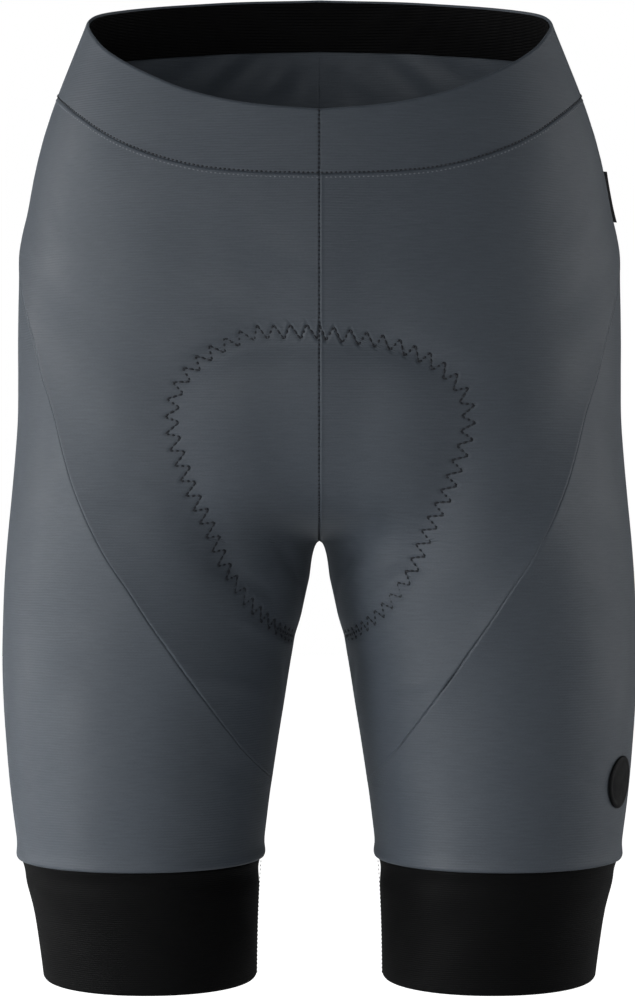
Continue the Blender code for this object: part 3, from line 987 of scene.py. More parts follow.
class NodeBoard:
    """A node tree with short calls for the nodes that the finishes use."""

    def __init__(self, tree: bpy.types.NodeTree) -> None:
        """Keep the tree that is filled."""
        self.tree = tree

    def add(self, kind: str, **settings: object) -> bpy.types.Node:
        """Add a node and set its properties.

        Args:
            kind: the node's type name without its prefix.
            settings: properties of the node.

        Returns:
            The node.
        """
        node = self.tree.nodes.new(f"ShaderNode{kind}")
        for name, value in settings.items():
            setattr(node, name, value)
        return node

    def link(self, start: bpy.types.NodeSocket, stop: bpy.types.NodeSocket) -> None:
        """Join two sockets."""
        self.tree.links.new(start, stop)

    def feed(self, socket: bpy.types.NodeSocket, value: object) -> None:
        """Set a socket, or join another socket to it.

        Args:
            socket: the socket.
            value: a number, a colour or a socket.
        """
        if isinstance(value, bpy.types.NodeSocket):
            self.link(value, socket)
        else:
            socket.default_value = value

    def maths(self, operation: str, *values: object) -> bpy.types.NodeSocket:
        """A sum of one, two or three values.

        Args:
            operation: the name of the sum.
            values: numbers or sockets.

        Returns:
            The socket that holds the result.
        """
        node = self.add("Math", operation=operation)
        for socket, value in zip(node.inputs, values):
            self.feed(socket, value)
        return node.outputs[0]

    def noise(self, vector: bpy.types.NodeSocket, scale: float, detail: float) -> bpy.types.NodeSocket:
        """Smooth noise from 0 to 1.

        Args:
            vector: where it is read.
            scale: how fine it is.
            detail: how many finer layers it has.

        Returns:
            The socket of the noise.
        """
        node = self.add("TexNoise")
        self.link(vector, node.inputs["Vector"])
        node.inputs["Scale"].default_value = scale
        node.inputs["Detail"].default_value = detail
        return node.outputs["Fac"]

    def cloth_place(self) -> bpy.types.NodeSocket:
        """The place on the cloth in millimetres, from the map that each piece carries."""
        place = self.add("UVMap", uv_map="cloth").outputs["UV"]
        return self.scaled(place, (1 / MM, 1 / MM, 1 / MM))

    def scaled(self, vector: bpy.types.NodeSocket, size: tuple[float, float, float],
               ) -> bpy.types.NodeSocket:
        """A vector stretched along each axis.

        Args:
            vector: the vector's socket.
            size: how much, by axis.

        Returns:
            The socket of the result.
        """
        node = self.add("Mapping")
        self.link(vector, node.inputs["Vector"])
        node.inputs["Scale"].default_value = size
        return node.outputs["Vector"]

    def blend(self, share: object, first: object, second: object) -> bpy.types.NodeSocket:
        """A colour between two.

        Args:
            share: how much of the second, a number or a socket.
            first: the first colour or its socket.
            second: the second colour or its socket.

        Returns:
            The socket of the result.
        """
        node = self.add("Mix", data_type="RGBA")
        self.feed(node.inputs["Factor"], share)
        self.feed(node.inputs["A"], first)
        self.feed(node.inputs["B"], second)
        return node.outputs["Result"]

    def ramp(self, value: bpy.types.NodeSocket, low: float, high: float, bottom: float,
             top: float) -> bpy.types.NodeSocket:
        """A value moved from one range into another, held at its ends.

        Args:
            value: the socket to read.
            low: the value that gives the bottom.
            high: the value that gives the top.
            bottom: the lowest result.
            top: the highest result.

        Returns:
            The socket of the result.
        """
        node = self.add("MapRange")
        self.link(value, node.inputs["Value"])
        for name, number in zip(("From Min", "From Max", "To Min", "To Max"), (low, high, bottom, top)):
            node.inputs[name].default_value = number
        return node.outputs["Result"]


def new_group(name: str, takes: dict[str, float], gives: tuple[str, ...],
              ) -> tuple[NodeBoard, dict[str, bpy.types.NodeSocket], bpy.types.Node]:
    """Start a shader node group.

    Args:
        name: the group's name.
        takes: its inputs and their usual values.
        gives: its outputs.

    Returns:
        The board to fill, its input sockets by name, and the node that takes its outputs.
    """
    tree = bpy.data.node_groups.new(name, "ShaderNodeTree")
    for label, value in takes.items():
        socket = tree.interface.new_socket(name=label, in_out="INPUT", socket_type="NodeSocketFloat")
        socket.default_value = value
    for label in gives:
        tree.interface.new_socket(name=label, in_out="OUTPUT", socket_type="NodeSocketFloat")
    start = tree.nodes.new("NodeGroupInput")
    stop = tree.nodes.new("NodeGroupOutput")
    return NodeBoard(tree), {label: start.outputs[label] for label in takes}, stop


def knit_group() -> bpy.types.NodeTree:
    """Fine jersey: rows across the cloth, columns up it, and yarn that varies along its rows.

    Returns:
        The group, which gives a tone and a height.
    """
    takes = {"Row Pitch": 0.9, "Column Pitch": 0.7, "Streak": 0.5, "Column Share": 0.5}
    board, given, stop = new_group("fine_knit", takes, ("Tone", "Height"))
    cloth = board.cloth_place()
    split = board.add("SeparateXYZ")
    board.link(cloth, split.inputs[0])
    # The rows waver a little on their way round the cloth
    waver = board.noise(board.scaled(cloth, (0.05, 0.05, 1.0)), 1.0, 1.0)
    lifted = board.maths("MULTIPLY_ADD", waver, 1.6, split.outputs["Y"])
    turn = board.maths("DIVIDE", lifted, given["Row Pitch"])
    rows = board.maths("SINE", board.maths("MULTIPLY", turn, math.tau))
    across = board.maths("DIVIDE", split.outputs["X"], given["Column Pitch"])
    columns = board.maths("SINE", board.maths("MULTIPLY", across, math.tau))
    # Thick and thin places of the yarn, long and short, and a broad cloudiness
    long_yarn = board.noise(board.scaled(cloth, (0.10, 0.85, 1.0)), 1.0, 2.0)
    short_yarn = board.noise(board.scaled(cloth, (0.9, 1.5, 1.0)), 1.0, 1.0)
    cloud = board.noise(board.scaled(cloth, (0.02, 0.02, 1.0)), 1.0, 2.0)
    yarn = board.maths("MULTIPLY_ADD", long_yarn, 0.55, board.maths("MULTIPLY", short_yarn, 0.45))
    streak = board.maths("MULTIPLY", board.maths("SUBTRACT", yarn, 0.5), given["Streak"])
    weave = board.maths("MULTIPLY_ADD", columns, given["Column Share"], rows)
    tone = board.maths("MULTIPLY_ADD", weave, 0.02, board.maths("MULTIPLY_ADD", cloud, 0.25, 0.375))
    board.link(board.maths("ADD", tone, streak), stop.inputs["Tone"])
    height = board.maths("MULTIPLY_ADD", yarn, 0.8, board.maths("MULTIPLY", weave, 0.25))
    board.link(height, stop.inputs["Height"])
    return board.tree


def rib_group() -> bpy.types.NodeTree:
    """Ribbed elastic: cords that run along the cloth, crossed by fine threads.

    Returns:
        The group, which gives a tone and a height.
    """
    takes = {"Rib Pitch": 1.6, "Thread Pitch": 0.5}
    board, given, stop = new_group("elastic_ribs", takes, ("Tone", "Height"))
    cloth = board.cloth_place()
    split = board.add("SeparateXYZ")
    board.link(cloth, split.inputs[0])
    up = board.maths("DIVIDE", split.outputs["Y"], given["Rib Pitch"])
    cords = board.maths("ABSOLUTE", board.maths("SINE", board.maths("MULTIPLY", up, math.pi)))
    across = board.maths("DIVIDE", split.outputs["X"], given["Thread Pitch"])
    threads = board.maths("SINE", board.maths("MULTIPLY", across, math.tau))
    fluff = board.noise(board.scaled(cloth, (0.6, 0.9, 1.0)), 1.0, 2.0)
    tone = board.maths("MULTIPLY_ADD", cords, 0.5, board.maths("MULTIPLY", fluff, 0.5))
    board.link(tone, stop.inputs["Tone"])
    height = board.maths("MULTIPLY_ADD", threads, 0.12, board.maths("MULTIPLY_ADD", fluff, 0.3, cords))
    board.link(height, stop.inputs["Height"])
    return board.tree


def seam_shade_and_rub_group() -> bpy.types.NodeTree:
    """Where the cloth is pressed down, which the jersey finish darkens as painted shade, and where it is
    rubbed.

    Returns:
        The group, which gives both as masks.
    """
    board, given, stop = new_group("painted_seam_shade_and_rub", {"Rub Size": 60.0}, ("Pressed", "Rub"))
    pressed = board.add("Attribute", attribute_name="pressed").outputs["Fac"]
    cloth = board.cloth_place()
    size = board.add("VectorMath", operation="SCALE")
    board.link(cloth, size.inputs[0])
    board.link(board.maths("DIVIDE", 1.0, given["Rub Size"]), size.inputs["Scale"])
    rub = board.noise(size.outputs[0], 1.0, 3.0)
    # The pressed mask, passed on as the share of painted seam shade
    board.link(pressed, stop.inputs["Pressed"])
    board.link(board.ramp(rub, 0.35, 0.7, 0.0, 1.0), stop.inputs["Rub"])
    return board.tree


class Workshop:
    """The node groups and finishes, each made once."""

    def __init__(self) -> None:
        """Build the shared groups."""
        self.knit = knit_group()
        self.ribs = rib_group()
        self.wear = seam_shade_and_rub_group()

    @staticmethod
    def start(name: str) -> tuple[NodeBoard, bpy.types.Node, bpy.types.Material]:
        """Start a material.

        Args:
            name: its name.

        Returns:
            Its board, its shader and itself.
        """
        material = bpy.data.materials.new(name)
        material.use_nodes = True
        return NodeBoard(material.node_tree), material.node_tree.nodes["Principled BSDF"], material

    @staticmethod
    def place(board: NodeBoard, group: bpy.types.NodeTree, **values: float) -> bpy.types.Node:
        """Place a group in a material with its own values.

        Args:
            board: the material's board.
            group: the group.
            values: the inputs to set, with _ for each space of a name.

        Returns:
            The group's node.
        """
        node = board.add("Group", node_tree=group)
        for name, value in values.items():
            node.inputs[name.replace("_", " ")].default_value = value
        return node

    @staticmethod
    def bump(board: NodeBoard, shader: bpy.types.Node, height: bpy.types.NodeSocket,
             strength: float, distance: float) -> None:
        """Give a shader a bump of a height.

        Args:
            board: the material's board.
            shader: the shader.
            height: the socket of the height.
            strength: how strong the bump is, from 0 to 1.
            distance: the depth of the whole height, in millimetres.
        """
        node = board.add("Bump")
        node.inputs["Strength"].default_value = strength
        node.inputs["Distance"].default_value = distance * MM
        board.link(height, node.inputs["Height"])
        board.link(node.outputs["Normal"], shader.inputs["Normal"])


Colour = tuple[float, float, float, float]


@dataclass(frozen=True)
class KnitFinish:
    """Smooth elastic jersey with a soft sheen, and painted shade where its seams press the cloth in."""

    name: str
    dark: Colour
    light: Colour
    roughness: float = 0.56
    sheen: float = 0.22
    row_pitch: float = 1.35
    column_pitch: float = 0.8
    streak: float = 1.1
    shade_in_seams: float = 0.75
    specular: float = 0.5
    relief: float = 0.10
    seam_shade_tone: float = 0.25
    rub: float = 0.05
    rub_size: float = 45.0

    def make(self, shop: Workshop) -> bpy.types.Material:
        """Build the finish.

        Args:
            shop: the workshop with the shared groups.

        Returns:
            The material.
        """
        board, shader, material = shop.start(self.name)
        knit = shop.place(board, shop.knit, Row_Pitch=self.row_pitch, Column_Pitch=self.column_pitch,
                          Streak=self.streak)
        wear = shop.place(board, shop.wear, Rub_Size=self.rub_size)
        cloth = board.blend(knit.outputs["Tone"], self.dark, self.light)
        # Painted shade: where seams press the cloth in, the colour is drawn towards a darker copy of the
        # jersey's dark tone
        shade = tuple(self.seam_shade_tone * value for value in self.dark[:3]) + (1.0,)
        seam_shade_share = board.maths("MULTIPLY", wear.outputs["Pressed"], self.shade_in_seams)
        board.link(board.blend(seam_shade_share, cloth, shade), shader.inputs["Base Color"])
        low, high = self.roughness - self.rub, self.roughness + self.rub
        board.link(board.ramp(wear.outputs["Rub"], 0.0, 1.0, high, low), shader.inputs["Roughness"])
        shader.inputs["Specular IOR Level"].default_value = self.specular
        shader.inputs["Sheen Weight"].default_value = self.sheen
        shader.inputs["Sheen Roughness"].default_value = 0.35
        shader.inputs["Sheen Tint"].default_value = (0.82, 0.92, 1.0, 1.0)
        shop.bump(board, shader, knit.outputs["Height"], 0.8, self.relief)
        return material


@dataclass(frozen=True)
class RibFinish:
    """Black ribbed elastic."""

    name: str
    dark: Colour
    light: Colour
    roughness: float = 0.7
    rib_pitch: float = 1.6
    thread_pitch: float = 0.55
    relief: float = 0.25
    sheen: float = 0.015
    specular: float = 0.08
    rub: float = 0.06
    rub_size: float = 30.0

    def make(self, shop: Workshop) -> bpy.types.Material:
        """Build the finish from the shared ribs.

        Args:
            shop: the workshop.

        Returns:
            The material.
        """
        board, shader, material = shop.start(self.name)
        ribs = shop.place(board, shop.ribs, Rib_Pitch=self.rib_pitch, Thread_Pitch=self.thread_pitch)
        wear = shop.place(board, shop.wear, Rub_Size=self.rub_size)
        colour = board.blend(ribs.outputs["Tone"], self.dark, self.light)
        board.link(colour, shader.inputs["Base Color"])
        low, high = self.roughness - self.rub, self.roughness + self.rub
        board.link(board.ramp(wear.outputs["Rub"], 0.0, 1.0, high, low), shader.inputs["Roughness"])
        shader.inputs["Specular IOR Level"].default_value = self.specular
        shader.inputs["Sheen Weight"].default_value = self.sheen
        shader.inputs["Sheen Roughness"].default_value = 0.4
        shop.bump(board, shader, ribs.outputs["Height"], 0.9, self.relief)
        return material


@dataclass(frozen=True)
class ThreadFinish:
    """Twisted sewing thread."""

    name: str
    dark: Colour
    light: Colour
    twist_pitch: float = 0.45
    rough_low: float = 0.48
    rough_high: float = 0.62

    def make(self, shop: Workshop) -> bpy.types.Material:
        """Build the finish, with its twist as slanting lines.

        Args:
            shop: the workshop.

        Returns:
            The material.
        """
        board, shader, material = shop.start(self.name)
        split = board.add("SeparateXYZ")
        board.link(board.cloth_place(), split.inputs[0])
        slant = board.maths("ADD", split.outputs["X"], split.outputs["Y"])
        turn = board.maths("MULTIPLY", slant, math.tau / self.twist_pitch)
        twist = board.ramp(board.maths("SINE", turn), -1.0, 1.0, 0.0, 1.0)
        board.link(board.blend(twist, self.dark, self.light), shader.inputs["Base Color"])
        rough = board.ramp(twist, 0.0, 1.0, self.rough_high, self.rough_low)
        board.link(rough, shader.inputs["Roughness"])
        shop.bump(board, shader, twist, 0.6, 0.06)
        return material


@dataclass(frozen=True)
class RubberFinish:
    """Soft moulded rubber with a fine grain."""

    name: str
    dark: Colour
    light: Colour
    roughness: float = 0.42
    rub: float = 0.14
    specular: float = 0.06
    grain: float = 4.0

    def make(self, shop: Workshop) -> bpy.types.Material:
        """Build the finish from fine grain and slight rub marks.

        Args:
            shop: the workshop.

        Returns:
            The material.
        """
        board, shader, material = shop.start(self.name)
        grain = board.noise(board.cloth_place(), self.grain, 2.0)
        wear = shop.place(board, shop.wear, Rub_Size=6.0)
        board.link(board.blend(grain, self.dark, self.light), shader.inputs["Base Color"])
        rough = board.ramp(wear.outputs["Rub"], 0.0, 1.0, self.roughness, self.roughness + self.rub)
        board.link(rough, shader.inputs["Roughness"])
        shader.inputs["Specular IOR Level"].default_value = self.specular
        shop.bump(board, shader, grain, 0.5, 0.05)
        return material


SLATE = KnitFinish("slate_jersey", (0.040, 0.051, 0.066, 1.0), (0.079, 0.095, 0.117, 1.0))
GRIPPER = KnitFinish(
    "black_gripper_knit", (0.0018, 0.0019, 0.0021, 1.0), (0.0045, 0.0047, 0.0050, 1.0),
    roughness=0.6, sheen=0.012, row_pitch=1.1, streak=1.4, specular=0.07, relief=0.12,
)
FLEECE = KnitFinish(
    "pad_fleece", (0.030, 0.034, 0.042, 1.0), (0.062, 0.069, 0.082, 1.0),
    roughness=0.8, sheen=0.35, row_pitch=2.2, column_pitch=2.2, streak=1.6, specular=0.2, relief=0.3,
)
RIBBON = RibFinish(
    "label_ribbon", (0.004, 0.004, 0.005, 1.0), (0.020, 0.021, 0.024, 1.0),
    roughness=0.5, rib_pitch=0.7, thread_pitch=0.4, relief=0.12,
)
ELASTIC = RibFinish(
    "black_elastic", (0.0012, 0.0012, 0.0014, 1.0), (0.0045, 0.0046, 0.0050, 1.0),
)
DARK_THREAD = ThreadFinish("navy_thread", (0.006, 0.008, 0.013, 1.0), (0.018, 0.022, 0.031, 1.0))
LIGHT_THREAD = ThreadFinish("slate_thread", (0.085, 0.10, 0.12, 1.0), (0.22, 0.24, 0.27, 1.0))
RUBBER = RubberFinish("black_rubber", (0.004, 0.0043, 0.0048, 1.0), (0.008, 0.0085, 0.0095, 1.0))


@dataclass
class Waist:
    """The waistband halves and the elastic inside their back, in millimetres."""

    seams: Seams
    band_thickness: float = 1.7
    elastic_thickness: float = 1.1
    elastic_height: float = 28.0
    layer_gap: float = 0.3
    elastic_reach: float = 0.22
    elastic_top: float = 1.0
    rib_pitch: float = 1.75
    rib_height: float = 0.3
    fold_reach: float = 1.6
    columns: tuple[int, int, int] = (8, 150, 8)
    elastic_columns: int = 120

    def edges(self) -> list[Trough]:
        """Where the waistband is sewn down or joined.

        Returns:
            The grooves of those seams.
        """
        return [
            self.seams.waist_groove(),
            self.seams.middle_groove(self.seams.band_centre[Face.FRONT]),
            self.seams.middle_groove(self.seams.band_centre[Face.BACK]),
        ]

    def folds(self) -> list[Trough]:
        """Soft slanting folds inside the back, uneven in length and depth.

        Returns:
            The folds.
        """
        return [
            crease((-70, 12.0), (-59, -11.0), -1.0, 5.0, 2.0),
            crease((-61, 11.0), (-50, -13.0), 0.9, 5.0, 1.0),
            crease((-78, 9.0), (-70, -12.0), 0.7, 4.5, -2.0),
            crease((-52, 10.0), (-41, -9.0), -0.8, 5.5, 1.0),
            crease((-85, 5.0), (-79, -17.0), -0.6, 5.0, 0.0),
            crease((-40, 6.0), (-31, -14.0), 0.6, 6.0, 2.0),
            crease((40, -62.0), (66, -40.0), 0.35, 9.0, 2.0),
        ]

    def halves(self, cloth: bpy.types.Material) -> list[bpy.types.Object]:
        """Build the two waistband halves.

        Args:
            cloth: their finish.

        Returns:
            The halves.
        """
        level = graded((BAND, -44.0, 0.8), (-44.0, -3.0, 1.2), (-3.0, RIM, 0.3))
        front = FORM.edge_at(level, Face.FRONT)
        back = FORM.edge_at(level, Face.BACK)
        inset = 0.97
        angles = along_rows([back, back * inset, front * inset, front], list(self.columns))
        heights = FORM.height(level[:, None], angles)
        pinch = turned_edge(heights[-1] - heights, self.band_thickness, self.fold_reach)
        piece = Cloth("waistband", angles, heights, self.band_thickness, self.edges(),
                      self.folds(), pinch)
        made = [piece.make(side, cloth) for side in Side]
        return made

    def elastic(self, rubber: bpy.types.Material) -> bpy.types.Object:
        """Build the elastic, which lies inside the back from side to side.

        Args:
            rubber: its finish.

        Returns:
            The elastic.
        """
        front = float(FORM.edge_at(np.array([RIM]), Face.FRONT)[0])
        back = float(FORM.edge_at(np.array([RIM]), Face.BACK)[0])
        half = np.linspace(back, self.elastic_reach * front, self.elastic_columns)
        drop = graded((self.elastic_top, self.elastic_height, 0.5))[:, None]
        angles = np.broadcast_to(half, (len(drop), len(half)))
        heights = read_line(FORM.rim, angles) - drop
        depth = self.band_thickness + self.layer_gap
        ribs = self.rib_height * np.abs(np.sin(np.pi * drop / self.rib_pitch)) * np.ones(angles.shape)
        grids = []
        for level in (depth, depth + self.elastic_thickness - self.rib_height + ribs):
            left = FORM.skin(angles, heights, level)
            grids.append(np.concatenate([on_side(left, Side.RIGHT)[:, :0:-1], left], axis=1))
        pressed = np.zeros(grids[0].shape[:2])
        made = wall("waist_elastic_band", grids[0], grids[1], pressed, rubber)
        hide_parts("waist_elastic")
        return made


@dataclass
class Panels:
    """The front, back and side panels, in millimetres."""

    seams: Seams
    zigzag: Zigzag
    thickness: float = 1.2
    band_reach: float = 5.6
    stitch_groove: float = 0.75
    stitch_width: float = 0.85
    fine: tuple[float, float] = (0.85, 1.4)
    areas: tuple[float, float] = (0.0475, 0.038)
    side_columns: tuple[int, int, int] = (6, 104, 6)
    allowance_heights: tuple[float, float] = (0.3, 0.1)
    allowance_place: float = 1.1
    allowance_width: float = 0.7
    outline_gap: float = 2.4
    edge_gap: float = 1.2
    outline_share: float = 0.35
    band_share: float = 0.45
    first_share: float = 0.06
    last_share: float = 0.03

    def groove(self, side: Side, face: Face) -> list[Trough]:
        """The pad's zigzag stitch, pressed into the cloth.

        Args:
            side: the side.
            face: front or back.

        Returns:
            The groove.
        """
        line = self.seams.pad[face, side]
        stitch = resample(self.zigzag.corners(line, side, face), 0.5)
        return [Trough(stitch, self.stitch_groove, self.stitch_width, puff=0.35)]

    def edges(self, face: Face, side: Side) -> list[Trough]:
        """The seams round a panel, with the allowance that shows beside the middle.

        Args:
            face: front or back.
            side: the side.

        Returns:
            The grooves and the ridge.
        """
        height = self.allowance_heights[0 if side is Side.LEFT else 1]
        beside = self.seams.centre[face] + np.array([self.allowance_place, 0, 0])
        return [
            self.seams.side_groove(face),
            self.seams.middle_groove(self.seams.centre[face]),
            Trough(beside, -height, self.allowance_width),
            self.seams.inseam_groove(),
            self.seams.waist_groove(),
        ]

    def corner(self, face: Face) -> Trough:
        """The edge at which the cloth turns from the side of the thigh to its front or back."""
        return Trough(self.seams.side[face], -3.6, 14.0, fades=True, tent=True)

    def rise(self, face: Face) -> Trough:
        """The soft rise of the cloth, stretched over the pad, along the middle."""
        return Trough(self.seams.centre[face], -2.6, 20.0, fades=True)

    def folds(self, face: Face) -> list[Trough]:
        """Soft creases of a front or back panel, uneven in length, depth and spacing.

        Args:
            face: front or back.

        Returns:
            The creases, and the two broad rises of the cloth.
        """
        if face is Face.FRONT:
            return [
                self.corner(face),
                self.rise(face),
                crease((100, -330), (150, -345), -1.2, 5.0, 4.0),
                crease((118, -300), (165, -322), -1.3, 4.5, -3.0),
                crease((106, -272), (140, -296), 1.5, 5.0, 3.0),
                crease((128, -262), (168, -290), 1.6, 5.0, -2.0),
                crease((74, -224), (92, -232), 0.45, 3.5, 1.0),
                crease((70, -238), (90, -243), 0.4, 3.0, -1.0),
                crease((72, -212), (88, -218), 0.35, 3.0, 0.0),
                crease((150, -310), (176, -350), 0.6, 5.0, 0.0),
                crease((60, -90), (78, -130), 0.35, 9.0, 2.0),
            ]
        return [
            self.corner(face),
            self.rise(face),
            crease((-100, -272), (-150, -286), 1.2, 5.0, -4.0),
            crease((-92, -262), (-135, -268), -0.9, 5.0, 3.0),
            crease((-108, -300), (-160, -318), 0.9, 5.5, 2.0),
            crease((-118, -330), (-165, -352), 0.7, 6.0, -2.0),
            crease((-70, -215), (-88, -226), 0.5, 4.0, 1.0),
            crease((-66, -236), (-86, -244), 0.45, 3.5, -1.0),
            crease((-60, -110), (-84, -140), 0.5, 10.0, 3.0),
            crease((-100, -70), (-90, -120), 0.5, 9.0, 2.0),
        ]

    def side_folds(self) -> list[Trough]:
        """Soft creases of a side panel, and its edge puffed up over the gripper.

        Returns:
            The creases.
        """
        return [
            Trough(self.seams.cuff, -1.5, 5.0),
            self.corner(Face.FRONT),
            self.corner(Face.BACK),
            crease((60, -300), (85, -360), 0.35, 10.0, 3.0),
            crease((-60, -300), (-95, -372), 0.6, 11.0, -4.0),
            crease((-30, -180), (-48, -250), 0.5, 12.0, 3.0),
            crease((112, -372), (168, -402), 0.5, 6.0, 3.0),
            crease((-112, -372), (-165, -404), 0.6, 6.0, -3.0),
        ]

    def layout(self, face: Face, fine: float) -> tuple[Array, Array]:
        """Angles and heights of a front or back panel, closest together at the pad's stitch.

        Args:
            face: front or back.
            fine: the spacing at the stitch.

        Returns:
            The grid of angles and the grid of heights.
        """
        level = graded((BAND, -58, 1.2), (-58, -149, 3.0), (-149, -319, fine), (-319, -389.9, 2.2))
        seam = read_line(FORM.front_seam if face is Face.FRONT else FORM.back_seam, level)
        outline = read_line(FORM.pad_front if face is Face.FRONT else FORM.pad_back, level)
        edge = FORM.edge_at(level, face)
        sign = face.value
        least = sign * (seam + self.outline_share * (edge - seam))
        outline = np.clip(sign * outline, least, sign * edge - self.outline_gap) * sign
        reach = np.minimum(self.band_reach, self.band_share * np.abs(outline - seam))
        before = outline - sign * reach
        after = sign * np.minimum(sign * outline + reach, sign * edge - self.edge_gap)
        first = seam + self.first_share * (before - seam)
        columns = [4, 22, round(2 * self.band_reach * 1.5 / fine), round(68 / fine), 4]
        last = edge - self.last_share * (edge - after)
        angles = along_rows([seam, first, before, after, last, edge], columns)
        return angles, FORM.height(level[:, None], angles)

    def upper(self, face: Face, cloth: bpy.types.Material) -> list[bpy.types.Object]:
        """Build the two panels of the front or of the back.

        Args:
            face: front or back.
            cloth: their finish.

        Returns:
            The panels.
        """
        word = face.name.lower()
        which = 0 if face is Face.FRONT else 1
        angles, heights = self.layout(face, self.fine[which])
        made = []
        for side in Side:
            seams = self.edges(face, side) + self.groove(side, face)
            folds = self.folds(face) + [self.seams.pad_dip(face, side)]
            piece = Cloth(f"{word}_panel", angles, heights, self.thickness, seams, folds)
            panel = piece.make(side, cloth)
            made.append(panel)
        return made

    def sides(self, cloth: bpy.types.Material) -> list[bpy.types.Object]:
        """Build the two side panels, which wrap the whole leg under the tips of the others.

        Args:
            cloth: their finish.

        Returns:
            The panels.
        """
        level = graded((BAND, -58, 1.2), (-58, SEAM_TIP, 2.6), (SEAM_TIP, -424, 2.6), (-424, CUFF, 0.8))
        below = level < SEAM_TIP - 0.01
        front = np.where(below, 180.0, read_line(FORM.front_seam, level))
        back = np.where(below, -180.0, read_line(FORM.back_seam, level))
        inset = self.last_share * (front - back)
        angles = along_rows([back, back + inset, front - inset, front], list(self.side_columns))
        heights = FORM.height(level[:, None], angles)
        seams = [
            self.seams.side_groove(Face.FRONT),
            self.seams.side_groove(Face.BACK),
            self.seams.waist_groove(),
            self.seams.inseam_groove(),
            Trough(self.seams.cuff, 0.35, 0.7),
        ]
        piece = Cloth("side_leg_panel", angles, heights, self.thickness, seams, self.side_folds())
        made = [piece.make(side, cloth) for side in Side]
        return made


@dataclass
class LegBands:
    """The black gripper bands at the hems, in millimetres."""

    seams: Seams
    thickness: float = 1.5
    step: float = 0.5
    columns: int = 180
    fold_reach: float = 1.5

    def make(self, knit: bpy.types.Material) -> list[bpy.types.Object]:
        """Build both bands as closed rings.

        Args:
            knit: their finish.

        Returns:
            The bands.
        """
        level = graded((CUFF, -436, 0.6), (-436, -491, 1.4), (-491, HEM, 0.35))
        ring = np.linspace(-180, 180, self.columns + 1)[:-1]
        angles = np.broadcast_to(ring, (len(level), self.columns))
        heights = FORM.height(level[:, None], angles)
        pinch = turned_edge(heights - heights[-1:], self.thickness, self.fold_reach)
        seams = [Trough(self.seams.cuff, 0.7, 1.0)]
        folds = [
            Trough(self.seams.cuff + np.array([0, 0, -7.0]), 1.1, 6.0),
            crease((20, -446), (64, -474), 0.4, 6.0, 3.0),
            crease((70, -452), (112, -482), -0.35, 7.0, -3.0),
            crease((-60, -446), (-110, -478), 0.4, 7.0, 3.0),
        ]
        piece = Cloth("leg_gripper", angles, heights, self.thickness, seams, folds, pinch,
                      depth=self.step, closed=True)
        made = [piece.make(side, knit) for side in Side]
        return made


